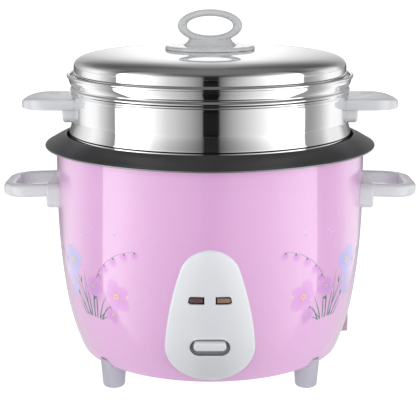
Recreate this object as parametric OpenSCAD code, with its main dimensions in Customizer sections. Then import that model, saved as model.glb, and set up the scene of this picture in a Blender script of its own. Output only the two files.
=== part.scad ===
// Drum rice cooker with a lift-out pot, a steamer basket, a steel lid and a lever switch.
// Millimetres. Origin at the middle of the footprint, on the table. Z up, front towards -Y.

/* [Pot] */
// Inner radius of the pot
pot_r = 110; // [104:0.5:116]
// Wall thickness of the pot
pot_t = 1.2; // [1:0.1:1.6]
// Height of the pot from its underside to its lip
pot_h = 133; // [125:1:145]
// Outer radius of the curve between the pot's floor and wall
pot_corner = 26; // [20:1:32]
// Width of the ledge inside the pot's mouth
ledge_w = 6; // [5:0.5:8]
// Depth of the ledge below the lip
ledge_drop = 7; // [6:0.5:9]
// How far the flange reaches past the shell
flange_over = 8.8; // [6:0.2:10]
// How far the flange falls from the lip to its edge
flange_fall = 8.1; // [6.5:0.1:8.5]
// Radius of the rolled edge of the flange
flange_edge = 0.9; // [0.7:0.1:1.2]

/* [Shell and liner] */
// Height of the feet under the shell
foot_h = 19; // [15:0.5:24]
// Room from the shell's bottom edge to the top of the heating plate
base_room = 42.7; // [41:0.1:48]
// Thickness of the shell's sheet
shell_t = 0.9; // [0.7:0.1:1.2]
// Thickness of the liner's sheet
liner_t = 0.6; // [0.5:0.1:0.8]
// Clearance from the pot's wall to the liner
pot_clear = 4.2; // [3.5:0.1:6]
// Air gap between the liner and the shell
air_gap = 7.5; // [7:0.1:10]
// Height of the lower, drawn-in part of the shell
draw_h = 121; // [110:1:125]
// Height of its tighter curve above the bottom edge
base_curve_h = 43; // [38:1:48]
// Radius of the long curve in the shell's side
side_radius = 520; // [480:5:600]
// Radius of the tighter curve near the base
base_radius = 180; // [160:5:220]
// Rounding of the shell's top edge
rim_round = 2.5; // [2:0.1:3]
// Depth of the shell's top edge below the pot's lip
rim_drop = 5; // [4.8:0.1:6]
// Height of the liner's floor above the shell's bottom edge
liner_floor_h = 28; // [26:0.5:29]
// Radius of the curve between the liner's floor and wall
liner_corner = 30; // [27:1:32]
// Radius of the opening in the liner's floor
liner_hole_r = 30; // [28:0.5:33]
// Width of the flange under the shell
base_flange_w = 24.4; // [22:0.1:26]

/* [Bottom plate and feet] */
// How far the bottom plate overlaps the shell's flange
bottom_over = 6.5; // [6:0.1:6.8]
// Thickness of the bottom plate
bottom_t = 0.8; // [0.6:0.1:1.2]
// Vent slots around the bottom plate
vent_count = 24; // [12:2:30]
// Length of a vent slot
vent_len = 16; // [10:1:20]
// Width of a vent slot
vent_w = 3; // [2:0.5:4]
// Distance of each foot's axis inside the shell's bottom edge
foot_in = 6.7; // [6:0.1:7]
// Angle of the front feet from the front, to each side
foot_angle = 50; // [40:1:60]
// Radius of a foot at the shell
foot_r = 10; // [9:0.1:10.5]
// How much narrower a foot is at the floor
foot_taper = 1.3; // [0.5:0.1:2]
// How far a foot's outer side climbs the shell
foot_climb = 5; // [3:0.5:8]
// Depth of the screw pocket in a foot
foot_pocket = 8; // [6:0.5:10]

/* [Body handles] */
// Reach of a handle's tip past the shell
handle_out = 42.6; // [36:0.2:50]
// Half the distance between a handle's arms
handle_half = 28; // [25:1:32]
// Width of an arm, seen from above
arm_w = 10.4; // [9:0.2:12]
// Height of an arm
arm_h = 11; // [9:0.5:13]
// Radius of the bend at a handle's tip
handle_bend = 16; // [12:1:20]
// How far a handle's tip drops
handle_droop = 4; // [0:0.5:6]
// Height of an arm's middle below the lip
handle_drop = 43.5; // [38:0.5:48]
// Thickness of a handle's foot against the shell
handle_foot_t = 9; // [7:0.5:11]
// Height of a handle's foot
handle_foot_h = 20; // [18:0.5:24]

/* [Control panel] */
// Width of the panel
panel_w = 67.8; // [64:0.2:72]
// Height of the panel's lower edge above the shell's bottom edge
panel_low = 2.8; // [2:0.1:5]
// Height of the panel
panel_h = 105.4; // [100:0.2:112]
// Height of the widest place above the panel's lower edge
panel_wide_h = 28.2; // [26:0.2:31]
// Radius of the panel's top
panel_top_r = 23; // [20:0.5:26]
// Radius of the panel's underside curve
panel_low_r = 40; // [38:0.5:44]
// Radius of the panel's long sides
panel_side_r = 240; // [220:5:300]
// Thickness of the panel
panel_t = 3.2; // [2.4:0.1:4]
// Width of the lever's recess
slot_w = 29.7; // [28:0.1:32]
// Height of the lever's recess
slot_h = 13.7; // [13:0.1:15]
// Height of the recess's middle above the shell's bottom edge
slot_mid = 31.75; // [31:0.05:33]
// Length of a lens
lens_w = 12.2; // [10:0.1:13]
// Height of a lens
lens_h = 5.9; // [5:0.1:7]
// Distance of each lens's inner end from the middle
lens_in = 4.2; // [3:0.1:6]
// Height of the lenses above the shell's bottom edge
lens_mid = 69.8; // [66:0.1:74]

/* [Switch] */
// Width of the key
key_w = 24.2; // [23:0.1:25]
// Height of the key
key_h = 7.3; // [6.8:0.1:7.6]
// Height of the key's middle above the recess's middle
key_up = 2.1; // [1.8:0.05:2.3]
// How far the key stands out of the panel
key_out = 5.5; // [4:0.5:7]
// Distance of the pivot from the middle of the cooker
pivot_back = 72; // [68:0.5:76]
// Height of the pivot above the shell's bottom edge
pivot_up = 12.6; // [11.5:0.1:13.5]
// Rounding of the key's front, from above and below
key_round = 40; // [30:1:60]
// Radius of the pivot pin
pin_r = 1.5; // [1.2:0.1:2]
// Thickness of the lever's sheet
lever_t = 1.2; // [1:0.1:1.5]
// Width of the lever
lever_w = 10; // [8:0.5:11]

/* [Heating plate and thermostat] */
// How far the heating plate stays inside the pot's flat floor
plate_in = 2.2; // [1:0.1:6]
// Thickness of the heating plate
plate_t = 10; // [9:0.5:10.5]
// Radius of the element's ring
element_r = 52; // [48:0.5:58]
// Radius of the element's bulge under the plate
element_bulge = 3.4; // [2.8:0.1:3.6]
// Radius of the hole in the plate's middle
plate_hole_r = 18.5; // [18:0.1:20]
// Radius of the thermostat's cap
cap_r = 17; // [16:0.1:17.4]
// Height of the cap's skirt
cap_skirt = 9; // [7:0.5:10]
// Travel of the cap when it is pressed
cap_travel = 1.5; // [1:0.1:2]
// Outer radius of the cap's sleeve
sleeve_r = 9.4; // [9:0.1:10]
// Wall of the cap's sleeve
sleeve_t = 0.8; // [0.6:0.1:1]
// Thickness of the magnet
magnet_t = 5.3; // [4:0.1:5.6]
// Radius of the plunger's rod
rod_r = 2.5; // [2:0.1:3]
// Distance of the plate's posts from the middle
post_ring_r = 68; // [66:0.5:72]
// Wire radius of the cap's spring
spring_wire = 0.6; // [0.5:0.05:0.8]
// Wall of the guide tube round the sleeve
guide_t = 1; // [0.8:0.1:1.4]
// Height of the guide tube above the liner's underside
guide_up = 5; // [3:0.5:7]
// Length of the guide tube below it
guide_down = 4; // [2:0.5:6]

/* [Contacts and cut-outs] */
// Distance of the contact block from the lever's middle line
block_side = 11; // [9:0.5:14]
// Width of the contact block
block_w = 12; // [10:0.5:16]
// Length of the contact block
block_len = 20; // [16:1:26]
// Height of the contact block
block_h = 11; // [9:0.5:12]
// Length of a contact blade
blade_len = 46; // [40:1:56]
// Width of a contact blade
blade_w = 5; // [4:0.5:7]
// Thickness of a contact blade
blade_t = 0.4; // [0.3:0.05:0.6]
// Distance between the two blades
blade_pitch = 3; // [2.5:0.1:4]
// Radius of the keep-warm switch
warm_r = 8; // [7:0.5:9]
// Height of the keep-warm switch
warm_h = 9; // [7:0.5:11]
// Sideways place of the keep-warm switch
warm_x = 50; // [46:1:54]
// Place of the keep-warm switch towards the back
warm_y = 22; // [18:1:26]
// Width of the thermal fuse's case
fuse_w = 6; // [5:0.5:8]
// Length of the thermal fuse's case
fuse_len = 16; // [12:1:20]
// Length of the fuse's leads, end to end
fuse_lead = 30; // [24:1:36]

/* [Screws and rivets] */
// Radius of a screw's shank
screw_r = 2; // [1.5:0.1:2.2]
// Radius of a screw's head
head_r = 3.2; // [3:0.1:3.6]
// Height of a screw's head
head_t = 2; // [1.5:0.1:2.4]
// Length of a short screw
screw_len = 7; // [5:0.5:9]
// Distance of the handle screws from the handle's middle
handle_screw_y = 20; // [16:0.5:24]
// Radius of a rivet
rivet_r = 1.5; // [1.2:0.1:2]
// Radius of a rivet's head
rivet_head = 3.4; // [2.8:0.1:4]
// Distance of the rivets from the handle's middle
rivet_y = 15; // [12:0.5:20]

/* [Power inlet] */
// Direction of the inlet from the front, towards the right
inlet_angle = 100; // [90:1:130]
// Width of the inlet's housing
inlet_w = 32; // [30:0.5:36]
// Height of the inlet's housing
inlet_h = 26; // [24:0.5:27]
// Depth of the inlet's face behind the shell's widest radius
inlet_in = 8.4; // [6.4:0.2:10.4]
// Depth of the inlet's housing
inlet_d = 18.5; // [17:0.5:19]
// Width of the inlet's recess
recess_w = 24.2; // [23:0.1:26]
// Height of the inlet's recess
recess_h = 16.4; // [15:0.1:18]
// Depth of the inlet's recess
recess_d = 15.5; // [14:0.5:16]
// Length of a pin in the recess
pin_len = 9.5; // [8:0.5:10]

/* [Steamer] */
// Thickness of the steamer's sheet
steam_t = 0.7; // [0.5:0.1:0.9]
// Height of the steamer above the pot's lip
steamer_h = 47.7; // [42:0.1:60]
// How much wider the steamer's wall is than the pot inside
wall_over = 1; // [0.5:0.1:1.5]
// Clearance of the basket inside the pot
basket_clear = 1.4; // [1:0.1:2.5]
// Gap between the steamer's foot and the pot's mouth
foot_gap = 1.1; // [0.6:0.1:1.6]
// Depth of the basket below the pot's ledge
basket_drop = 20; // [14:0.5:30]
// Height of the flare at the steamer's foot
flare_h = 9; // [7:0.5:12]
// Radius of the rolled rim
rim_bead = 1.4; // [1.2:0.1:1.6]
// Radius of a steam hole
steam_hole_r = 3; // [2:0.1:3.5]
// Rings of steam holes
steam_rings = 6; // [3:1:6]
// Reach of a steamer handle past the steamer's wall
ear_out = 40; // [35:0.5:47]
// Radius of a steamer handle's outer corners
ear_corner = 22; // [16:1:26]
// Wall of a steamer handle round its hollow underside
ear_wall = 2.4; // [2:0.1:3.2]
// Half the length of a steamer handle along the wall
ear_half = 30; // [26:0.5:34]
// Thickness of a steamer handle
ear_t = 8.5; // [7:0.5:10]
// Height of a steamer handle's foot
ear_foot_h = 19; // [16:0.5:22]
// Depth of a steamer handle's top below the rim
ear_drop = 19; // [17:0.5:22]

/* [Lid and knob] */
// Thickness of the lid's sheet
lid_t = 0.7; // [0.5:0.1:1]
// Clearance of the lid inside the steamer's wall
lid_clear = 1.1; // [0.8:0.1:2]
// Height of the lid's skirt
lid_skirt = 9.7; // [8:0.1:14]
// Rise of the lid's dome above its skirt
lid_rise = 15; // [10:0.5:25]
// Radius of the knob's disc
disc_r = 36.2; // [30:0.2:42]
// Thickness of the knob's disc
disc_t = 3; // [2.5:0.1:4]
// Width of the knob's ring
ring_w = 51.4; // [46:0.2:58]
// Height of the knob's ring
ring_h = 26; // [22:0.5:32]
// Front to back size of the knob's ring
ring_d = 13; // [10:0.5:16]
// Thickness of the ring at its sides
ring_side = 6.3; // [5:0.1:8]
// Thickness of the ring at its top
ring_top = 4.6; // [4:0.1:6]
// Width of the knob's foot on the disc
knob_foot_w = 43; // [38:0.5:48]
// Width of the knob's waist under the ring
waist_w = 33.4; // [28:0.2:38]

/* [Fits] */
// Gap between pieces that rest on each other but lift apart
seat_gap = 0.3; // [0.2:0.05:0.4]
// Gap between curved pieces fixed to each other
skin_gap = 0.1; // [0.05:0.05:0.2]
// Radial play of a running pin
pin_play = 0.06; // [0.03:0.01:0.1]
// Radial play of a sliding sleeve
sleeve_play = 0.2; // [0.15:0.05:0.3]
// Gap around a cut-out that a piece passes through
pass_gap = 0.3; // [0.2:0.05:0.5]

/* [Hidden] */
$fn = 96;

// Radii, from the pot outwards
pot_out = pot_r + pot_t;
mouth_r = pot_r + ledge_w;
liner_in = pot_out + pot_clear;
liner_out = liner_in + liner_t;
shell_r = liner_out + air_gap + shell_t;
flange_r = shell_r + flange_over;
collar_in = mouth_r + pot_t + 0.8;
collar_out = collar_in + liner_t;

// Heights, from the table upwards
plate_z = foot_h + base_room;
pot_z = plate_z + seat_gap;
lip_z = pot_z + pot_h;
ledge_z = lip_z - ledge_drop;
rim_z = lip_z - rim_drop;
draw_z = foot_h + draw_h;
curve_z = foot_h + base_curve_h;
liner_z = foot_h + liner_floor_h;
liner_top = liner_z + liner_t;
plate_low = plate_z - plate_t;
pivot_z = foot_h + pivot_up;
slot_z = foot_h + slot_mid;
key_z = slot_z + key_up;
lens_z = foot_h + lens_mid;
handle_z = lip_z - handle_drop;
steam_rim_z = lip_z + steamer_h;
basket_z = ledge_z + seat_gap - basket_drop;
lid_seat_z = steam_rim_z - 6.4;
skirt_z = lid_seat_z + lid_skirt;
crown_z = skirt_z + lid_rise;
disc_z = crown_z + disc_t;
ear_top = steam_rim_z - ear_drop;

// Shell's outer radius at a height: straight, then a long curve, then a tighter one, each tangent to the last
side_sine = (draw_z - curve_z) / side_radius;
side_fall = side_radius * (1 - sqrt(1 - side_sine * side_sine));
function base_fall(d) = let (s = side_sine + d / base_radius)
    base_radius * (sqrt(1 - side_sine * side_sine) - sqrt(1 - s * s));
function shell_at(z) = z >= draw_z ? shell_r
    : z >= curve_z ? shell_r - side_radius * (1 - sqrt(1 - pow((draw_z - z) / side_radius, 2)))
    : shell_r - side_fall - base_fall(curve_z - max(z, foot_h));

// Points of an arc
function arc(c, r, a0, a1, n) = [for (i = [0:n]) let (a = a0 + (a1 - a0) * i / n) c + r * [cos(a), sin(a)]];
function heading(p, q) = atan2(q[1] - p[1], q[0] - p[0]);
function flip(list) = [for (i = [len(list) - 1:-1:0]) list[i]];
function mirrored(list) = concat(list, [for (p = flip(list)) [-p[0], p[1]]]);
// Point at distances d and e from two centres, on the far side towards -X
function meet(p, d, q, e) = let (
    v = q - p, l = norm(v), a = (d * d - e * e + l * l) / (2 * l), h = sqrt(d * d - a * a)
) p + a * v / l + h * [v[1], -v[0]] / l;

// Rounded rectangle centred on the origin
function rounded(w, h, r, n = 6) = concat(
    arc([w / 2 - r, h / 2 - r], r, 0, 90, n), arc([r - w / 2, h / 2 - r], r, 90, 180, n),
    arc([r - w / 2, r - h / 2], r, 180, 270, n), arc([w / 2 - r, r - h / 2], r, 270, 360, n));

// Egg outline of the control panel, from tangent arcs, grown by d
function egg(d = 0) = let (
    low = foot_h + panel_low,
    low_c = [0, low + panel_low_r],
    wide_z = low + panel_wide_h,
    k = panel_low_r - panel_w / 2,
    rise = low_c[1] - wide_z,
    corner_r = (panel_low_r * panel_low_r - pow(panel_w / 2, 2) - rise * rise) / (2 * k),
    corner_c = [panel_w / 2 - corner_r, wide_z],
    top_c = [0, low + panel_h - panel_top_r],
    side_c = meet(top_c, panel_side_r - panel_top_r, corner_c, panel_side_r - corner_r),
    a1 = heading(low_c, corner_c),
    a2 = heading(side_c, corner_c),
    a3 = heading(side_c, top_c)
) mirrored(concat(
    arc(low_c, panel_low_r + d, -90, a1, 6),
    arc(corner_c, corner_r + d, a1, a2, 10),
    arc(side_c, panel_side_r + d, a2, a3, 6),
    arc(top_c, panel_top_r + d, a3, 89.5, 10)));

// Loft through rings of points. A closed loft joins its last ring to its first.
module loft(rings, closed = false) {
    n = len(rings[0]);
    m = len(rings);
    sides = [for (j = [0:closed ? m - 1 : m - 2]) for (i = [0:n - 1])
        [j * n + i, ((j + 1) % m) * n + i, ((j + 1) % m) * n + (i + 1) % n, j * n + (i + 1) % n]];
    ends = closed ? [] : [[for (i = [0:n - 1]) i], [for (i = [n - 1:-1:0]) (m - 1) * n + i]];
    polyhedron(points = [for (r = rings) each r], faces = concat(sides, ends));
}
// One value of a rounded-square wave, for sections between an ellipse and a box
function soft(v, e) = sign(v) * pow(abs(v), e);

// Turned body between two distances from the shell's face
module skin(inner, outer, z0, z1, steps = 24) {
    zs = [for (i = [0:steps]) z0 + (z1 - z0) * i / steps];
    rotate_extrude() polygon(concat(
        [for (z = zs) [shell_at(z) + outer, z]],
        [for (z = flip(zs)) [shell_at(z) + inner, z]]));
}
// Everything inside the shell's face, grown by d
module shell_fill(d, z1) {
    zs = [for (i = [0:20]) foot_h + (z1 - foot_h) * i / 20];
    rotate_extrude() polygon(concat(
        [[0, foot_h - d]], [[shell_at(foot_h) + d, foot_h - d]],
        [for (z = zs) [shell_at(z) + d, z]], [[0, z1]]));
}
// A flat outline in X and Z pushed through from y0 to y1
module front_cut(y0, y1) translate([0, y1, 0]) rotate([90, 0, 0]) linear_extrude(y1 - y0) children();
module both_sides() {
    children();
    mirror([1, 0, 0]) children();
}
module around(angles) for (a = angles) rotate([0, 0, a]) children();
module lens_outline(side, d = 0) scale([side, 1]) translate([lens_in, lens_z]) polygon(concat(
    [[-d, -lens_h / 2 - d]],
    arc([lens_w - lens_h / 2, 0], lens_h / 2 + d, -90, 90, 10),
    [[-d, lens_h / 2 + d]]));
module slot_outline(d = 0) translate([0, slot_z])
    polygon(rounded(slot_w + 2 * d, slot_h + 2 * d, slot_h / 2 + d, 10));

// ---- Shell, liner and base ----
post_angles = [90, 210, 330];
guide_angles = [45, 225];
base_r = shell_at(foot_h);
base_flange_r = base_r - base_flange_w;
bottom_r = base_flange_r + bottom_over;
foot_ring_r = base_r - foot_in;
inlet_face = shell_r - inlet_in;
screw_hole_r = screw_r + 0.2;
handle_screw_a = asin(handle_screw_y / shell_r);
bottom_screw_r = (bottom_r + base_flange_r) / 2;
pocket_wall = 1.5;
pocket_floor = liner_out - 2.7;
pocket_back = pocket_floor - pocket_wall;
inlet_low = foot_h + 3;
inlet_turn = inlet_angle - 90;

module handle_screw_places() both_sides() for (s = [-1, 1])
    rotate([0, 0, s * handle_screw_a]) translate([shell_r, 0, handle_z]) rotate([0, 90, 0]) children();
module foot_places() for (a = [foot_angle, 180 - foot_angle, 180 + foot_angle, -foot_angle])
    rotate([0, 0, a - 90]) translate([foot_ring_r, 0, 0]) children();

module outer_shell() color([0.93, 0.75, 0.9]) difference() {
    zs = [for (i = [0:28]) foot_h + (rim_z - rim_round - foot_h) * i / 28];
    rotate_extrude() polygon(concat(
        [[base_flange_r, foot_h]],
        [for (z = zs) [shell_at(z), z]],
        arc([shell_r - rim_round, rim_z - rim_round], rim_round, 0, 90, 6),
        [[collar_out, rim_z], [collar_out, rim_z - shell_t]],
        flip(arc([shell_r - rim_round, rim_z - rim_round], rim_round - shell_t, 0, 90, 6)),
        [for (z = flip(zs)) if (z > foot_h + shell_t) [shell_at(z) - shell_t, z]],
        [[shell_at(foot_h + shell_t) - shell_t, foot_h + shell_t], [base_flange_r, foot_h + shell_t]]));
    front_cut(-shell_r - 1, -shell_r + 25) slot_outline(pocket_wall + pass_gap);
    for (s = [-1, 1]) front_cut(-shell_r - 1, -shell_r + 12) lens_outline(s, pass_gap);
    handle_screw_places() translate([0, 0, -2]) cylinder(r = screw_hole_r, h = 4);
    foot_places() translate([0, 0, foot_h - 1]) cylinder(r = screw_hole_r, h = 3);
    around([0, 90, 180, 270]) translate([bottom_screw_r, 0, foot_h - 1]) cylinder(r = screw_hole_r, h = 3);
    rotate([0, 0, inlet_turn])
        translate([inlet_face - inlet_d, -inlet_w / 2 - pass_gap, inlet_low - pass_gap])
        cube([inlet_d + 9, inlet_w + 2 * pass_gap, inlet_h + 2 * pass_gap]);
}

// Sheet cup round the pot. Its collar hangs under the shell's top edge.
module inner_liner() color([0.8, 0.8, 0.82]) difference() {
    corner = [liner_out - liner_corner, liner_z + liner_corner];
    flare_low = ledge_z - 14;
    flare_high = ledge_z - 8;
    collar_z = rim_z - shell_t - 0.02;
    collar_edge = shell_r - rim_round;
    rotate_extrude() polygon(concat(
        [[liner_hole_r, liner_z]],
        arc(corner, liner_corner, -90, 0, 14),
        [[liner_out, flare_low], [collar_out, flare_high], [collar_out, collar_z - liner_t],
         [collar_edge, collar_z - liner_t], [collar_edge, collar_z], [collar_in, collar_z],
         [collar_in, flare_high], [liner_in, flare_low]],
        flip(arc(corner, liner_corner - liner_t, -90, 0, 14)),
        [[liner_hole_r, liner_top]]));
    around(post_angles) translate([post_ring_r, 0, liner_z - 1]) cylinder(r = screw_hole_r, h = 3);
    terminal_places() translate([0, 0, liner_z - 1]) cylinder(r = 5, h = 3);
    around(guide_angles) translate([guide_screw_r, 0, liner_z - 1]) cylinder(r = guide_hole, h = 3);
}

module bottom_plate() color([0.75, 0.75, 0.77]) difference() {
    rotate_extrude() polygon([
        [0, foot_h - bottom_t], [28, foot_h - bottom_t], [30, foot_h - bottom_t - 1.5],
        [34, foot_h - bottom_t - 1.5], [36, foot_h - bottom_t], [bottom_r, foot_h - bottom_t],
        [bottom_r, foot_h], [36.4, foot_h], [34.4, foot_h - 1.5], [29.6, foot_h - 1.5], [27.6, foot_h],
        [0, foot_h]]);
    around([0:360 / vent_count:359]) translate([44, -vent_w / 2, foot_h - 2]) cube([vent_len, vent_w, 4]);
    around([0, 90, 180, 270]) translate([bottom_screw_r, 0, foot_h - 2]) cylinder(r = screw_hole_r, h = 4);
}

// Screw with its head below z = 0 and its shank above
module pan_screw(wide_r, length, r) {
    translate([0, 0, -head_t]) cylinder(r1 = wide_r * 0.8, r2 = wide_r, h = head_t);
    cylinder(r = r, h = length);
}
module bottom_screws() color("silver") around([0, 90, 180, 270])
    translate([bottom_screw_r, 0, foot_h - bottom_t]) pan_screw(head_r, screw_len, screw_r);
module foot_screws() color("silver") foot_places()
    translate([0, 0, foot_pocket]) pan_screw(head_r, foot_h - foot_pocket + 5, screw_r);

module foot(angle) color([0.85, 0.85, 0.88]) difference() {
    round_r = 2.5;
    low_r = foot_r - foot_taper;
    rotate([0, 0, angle - 90]) translate([foot_ring_r, 0, 0]) rotate_extrude() polygon(concat(
        [[screw_hole_r, foot_pocket], [head_r + 1, foot_pocket], [head_r + 1, 0]],
        arc([low_r - round_r, round_r], round_r, -90, 0, 6),
        [[foot_r, foot_h], [foot_r, foot_h + foot_climb], [screw_hole_r, foot_h + foot_climb]]));
    zs = [for (i = [0:3]) foot_h + (foot_climb + 1) * i / 3];
    rotate_extrude() polygon(concat(
        [[base_flange_r, foot_h - skin_gap]],
        [for (z = zs) [shell_at(z) + skin_gap, z]],
        [[base_flange_r, foot_h + foot_climb + 1]]));
}
module foot_front_right() foot(foot_angle);
module foot_back_right() foot(180 - foot_angle);
module foot_back_left() foot(180 + foot_angle);
module foot_front_left() foot(-foot_angle);

// ---- Body handles ----
module body_handle_right() color([0.9, 0.9, 0.91]) {
    tip_x = shell_r + handle_out - arm_w / 2;
    root_x = shell_r + 2;
    path = concat(
        [[root_x, -handle_half], [(root_x + tip_x) / 2, -handle_half]],
        arc([tip_x - handle_bend, handle_bend - handle_half], handle_bend, -90, 0, 7),
        [[tip_x, 0]],
        arc([tip_x - handle_bend, handle_half - handle_bend], handle_bend, 0, 90, 7),
        [[(root_x + tip_x) / 2, handle_half], [root_x, handle_half]]);
    m = len(path);
    loft([for (i = [0:m - 1]) let (
        along = i == 0 ? [1, 0] : i == m - 1 ? [-1, 0] : path[i + 1] - path[i - 1],
        n = [-along[1], along[0]] / norm(along),
        z = handle_z - handle_droop * (path[i][0] - root_x) / (tip_x - root_x)
    ) [for (a = [0:22.5:359]) let (u = soft(cos(a), 0.6) * arm_w / 2, w = soft(sin(a), 0.6) * arm_h / 2)
        [path[i][0] + n[0] * u, path[i][1] + n[1] * u, z + w]]]);
    difference() {
        translate([shell_r - 12, 0, handle_z + arm_h / 2 + 0.5 - handle_foot_h / 2]) rotate([90, 0, 90])
            linear_extrude(handle_foot_t + 12) polygon(rounded(2 * handle_half + 18, handle_foot_h, 7));
        translate([0, 0, handle_z - 40]) cylinder(r = shell_r + skin_gap, h = 80);
        handle_screw_places() translate([0, 0, -2]) cylinder(r = screw_r - 0.2, h = 9);
    }
}
module body_handle_left() mirror([1, 0, 0]) body_handle_right();
module handle_screws() color("silver") handle_screw_places()
    translate([0, 0, -shell_t - skin_gap]) pan_screw(head_r, screw_len, screw_r - 0.2);

// ---- Panel, lenses and lamps ----
arm_slot_w = lever_w + 1.6;
arm_slot_drop = 5.1;
module control_panel() color([0.95, 0.96, 0.97]) difference() {
    union() {
        intersection() {
            front_cut(-shell_r - 10, -60) polygon(egg());
            skin(skin_gap, panel_t, foot_h, foot_h + panel_low + panel_h + 3);
        }
        intersection() {
            front_cut(-shell_r - 10, -pocket_back) slot_outline(pocket_wall);
            shell_fill(panel_t - 1, draw_z);
        }
    }
    front_cut(-shell_r - 20, -pocket_floor) slot_outline();
    for (s = [-1, 1]) front_cut(-shell_r - 20, -60) lens_outline(s, skin_gap);
    translate([-arm_slot_w / 2, -pocket_floor - 1, key_z - arm_slot_drop])
        cube([arm_slot_w, pocket_wall + 4, arm_slot_drop + 0.6]);
}
module lens(side) difference() {
    intersection() {
        front_cut(-shell_r - 10, -60) lens_outline(side);
        skin(-shell_t, panel_t - 0.6, foot_h + 40, foot_h + 90, 10);
    }
    intersection() {
        front_cut(-shell_r - 10, -60) lens_outline(side, -1);
        skin(-shell_t - 1, panel_t - 1.8, foot_h + 40, foot_h + 90, 10);
    }
}
module warm_lens() color([0.44, 0.3, 0.31]) lens(-1);
module cook_lens() color([0.66, 0.47, 0.37]) lens(1);

lamp_r = 1.2;
lamp_len = 9.6;
holder_half = lens_in + lens_w + 0.8;
holder_h = 10;
holder_front = sqrt(pow(shell_at(lens_z - holder_h / 2) - shell_t, 2) - pow(holder_half, 2)) - skin_gap;
holder_back = liner_out + pass_gap;
module lamp_places() for (s = [-1, 1]) translate([
    s * (lens_in + lens_w / 2), -holder_front + lamp_r + 0.2, lens_z]) children();
module lamp_holder() color([0.9, 0.9, 0.86]) difference() {
    translate([-holder_half, -holder_front, lens_z - holder_h / 2])
        cube([2 * holder_half, holder_front - holder_back, holder_h]);
    lamp_places() translate([-lamp_len / 2, -5, -lamp_r]) cube([lamp_len, 5 + lamp_r, 2 * lamp_r]);
}
module neon_lamps() color([0.9, 0.6, 0.4]) lamp_places() rotate([0, 90, 0])
    cylinder(r = lamp_r, h = lamp_len, center = true);

// ---- Switch lever and its mounting ----
key_back = pocket_floor + seat_gap;
key_front = shell_at(slot_z + key_up) + panel_t + key_out;
tab_low = key_z - 1.25;
lever_low = pivot_z - lever_t / 2;
leg_foot = liner_out - 14;
leg_head = liner_out - 7;
fork_w = 2 * rod_r + 0.8;
ear_in = lever_w / 2 - lever_t;
boss_r = pin_r + 1.9;
module switch_key() color([0.95, 0.95, 0.95]) difference() {
    intersection() {
        front_cut(-key_front, -key_back) translate([0, key_z]) polygon(rounded(key_w, key_h, key_h / 2, 8));
        translate([0, key_round - key_front, key_z]) rotate([0, 90, 0])
            cylinder(r = key_round, h = key_w + 2, center = true);
    }
    front_cut(-key_back - 8, -key_back + 1) translate([-lever_w / 2, tab_low]) square([lever_w, lever_t]);
}
// Bent strip: tab in the key, sloping leg, arm under the liner, fork round the plunger
module switch_lever() color([0.8, 0.8, 0.8]) {
    fold = 0.65 * lever_t;
    side = [[-key_back - 8, tab_low], [-leg_head - fold, tab_low], [-leg_foot - fold, lever_low],
        [rod_r + 4, lever_low], [rod_r + 4, lever_low + lever_t], [-leg_foot, lever_low + lever_t],
        [-leg_head, tab_low + lever_t], [-key_back - 8, tab_low + lever_t]];
    difference() {
        translate([-lever_w / 2, 0, 0]) rotate([90, 0, 90]) linear_extrude(lever_w) polygon(side);
        translate([-fork_w / 2, -rod_r - 0.6, lever_low - 1]) cube([fork_w, 3 * rod_r + 10, lever_t + 2]);
        translate([-ear_in, -pivot_back - 3, lever_low - 1]) cube([2 * ear_in, 6, lever_t + 2]);
        translate([0, -pivot_back, pivot_z]) rotate([0, 90, 0])
            cylinder(r = pin_r + pin_play, h = lever_w + 2, center = true);
    }
    difference() {
        both_sides() translate([ear_in, -pivot_back, pivot_z]) rotate([0, 90, 0])
            cylinder(r = boss_r, h = lever_t);
        translate([0, -pivot_back, pivot_z]) rotate([0, 90, 0])
            cylinder(r = pin_r + pin_play, h = lever_w + 2, center = true);
    }
}
cheek_in = lever_w / 2 + 0.6;
cheek_t = 1.2;
module lever_bracket() color([0.72, 0.72, 0.74]) difference() {
    union() {
        translate([-cheek_in - cheek_t, -pivot_back - 7, liner_z - cheek_t])
            cube([2 * (cheek_in + cheek_t), 14, cheek_t]);
        both_sides() translate([cheek_in, -pivot_back - 7, pivot_z - 4])
            cube([cheek_t, 14, liner_z - pivot_z + 4]);
    }
    translate([0, -pivot_back, pivot_z]) rotate([0, 90, 0])
        cylinder(r = pin_r, h = 2 * (cheek_in + cheek_t) + 2, center = true);
}
module pivot_pin() color("silver") translate([0, -pivot_back, pivot_z]) rotate([0, 90, 0])
    cylinder(r = pin_r, h = 2 * (cheek_in + cheek_t + 0.8), center = true);

// ---- Heating plate and thermostat ----
plate_r = pot_out - pot_corner - plate_in;
terminal_half = 14;
module terminal_places() both_sides()
    translate([terminal_half, sqrt(pow(element_r, 2) - pow(terminal_half, 2)), 0]) children();
module heating_plate() color([0.78, 0.79, 0.8]) difference() {
    union() {
        rotate_extrude() polygon([
            [plate_hole_r, plate_low], [plate_r - 6, plate_low], [plate_r, plate_low + 5],
            [plate_r, plate_z - 2], [plate_r - 3, plate_z], [plate_hole_r + 1, plate_z],
            [plate_hole_r, plate_z - 1]]);
        rotate_extrude() translate([element_r, plate_low]) difference() {
            circle(r = element_bulge);
            translate([-9, 1]) square([18, 12]);
        }
        around(post_angles) translate([post_ring_r, 0, plate_low - 1]) cylinder(r = 6, h = 3);
    }
    around(post_angles) translate([post_ring_r, 0, plate_low - 3]) cylinder(r = screw_r, h = 9);
}
module plate_posts() color("silver") around(post_angles) translate([post_ring_r, 0, liner_top]) difference() {
    cylinder(r = 4.5, h = plate_low - 1 - liner_top);
    translate([0, 0, -1]) cylinder(r = screw_hole_r, h = 9);
}
module plate_screws() color("silver") around(post_angles) translate([post_ring_r, 0, liner_z])
    pan_screw(head_r, plate_low + 4 - liner_z, screw_r);
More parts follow.
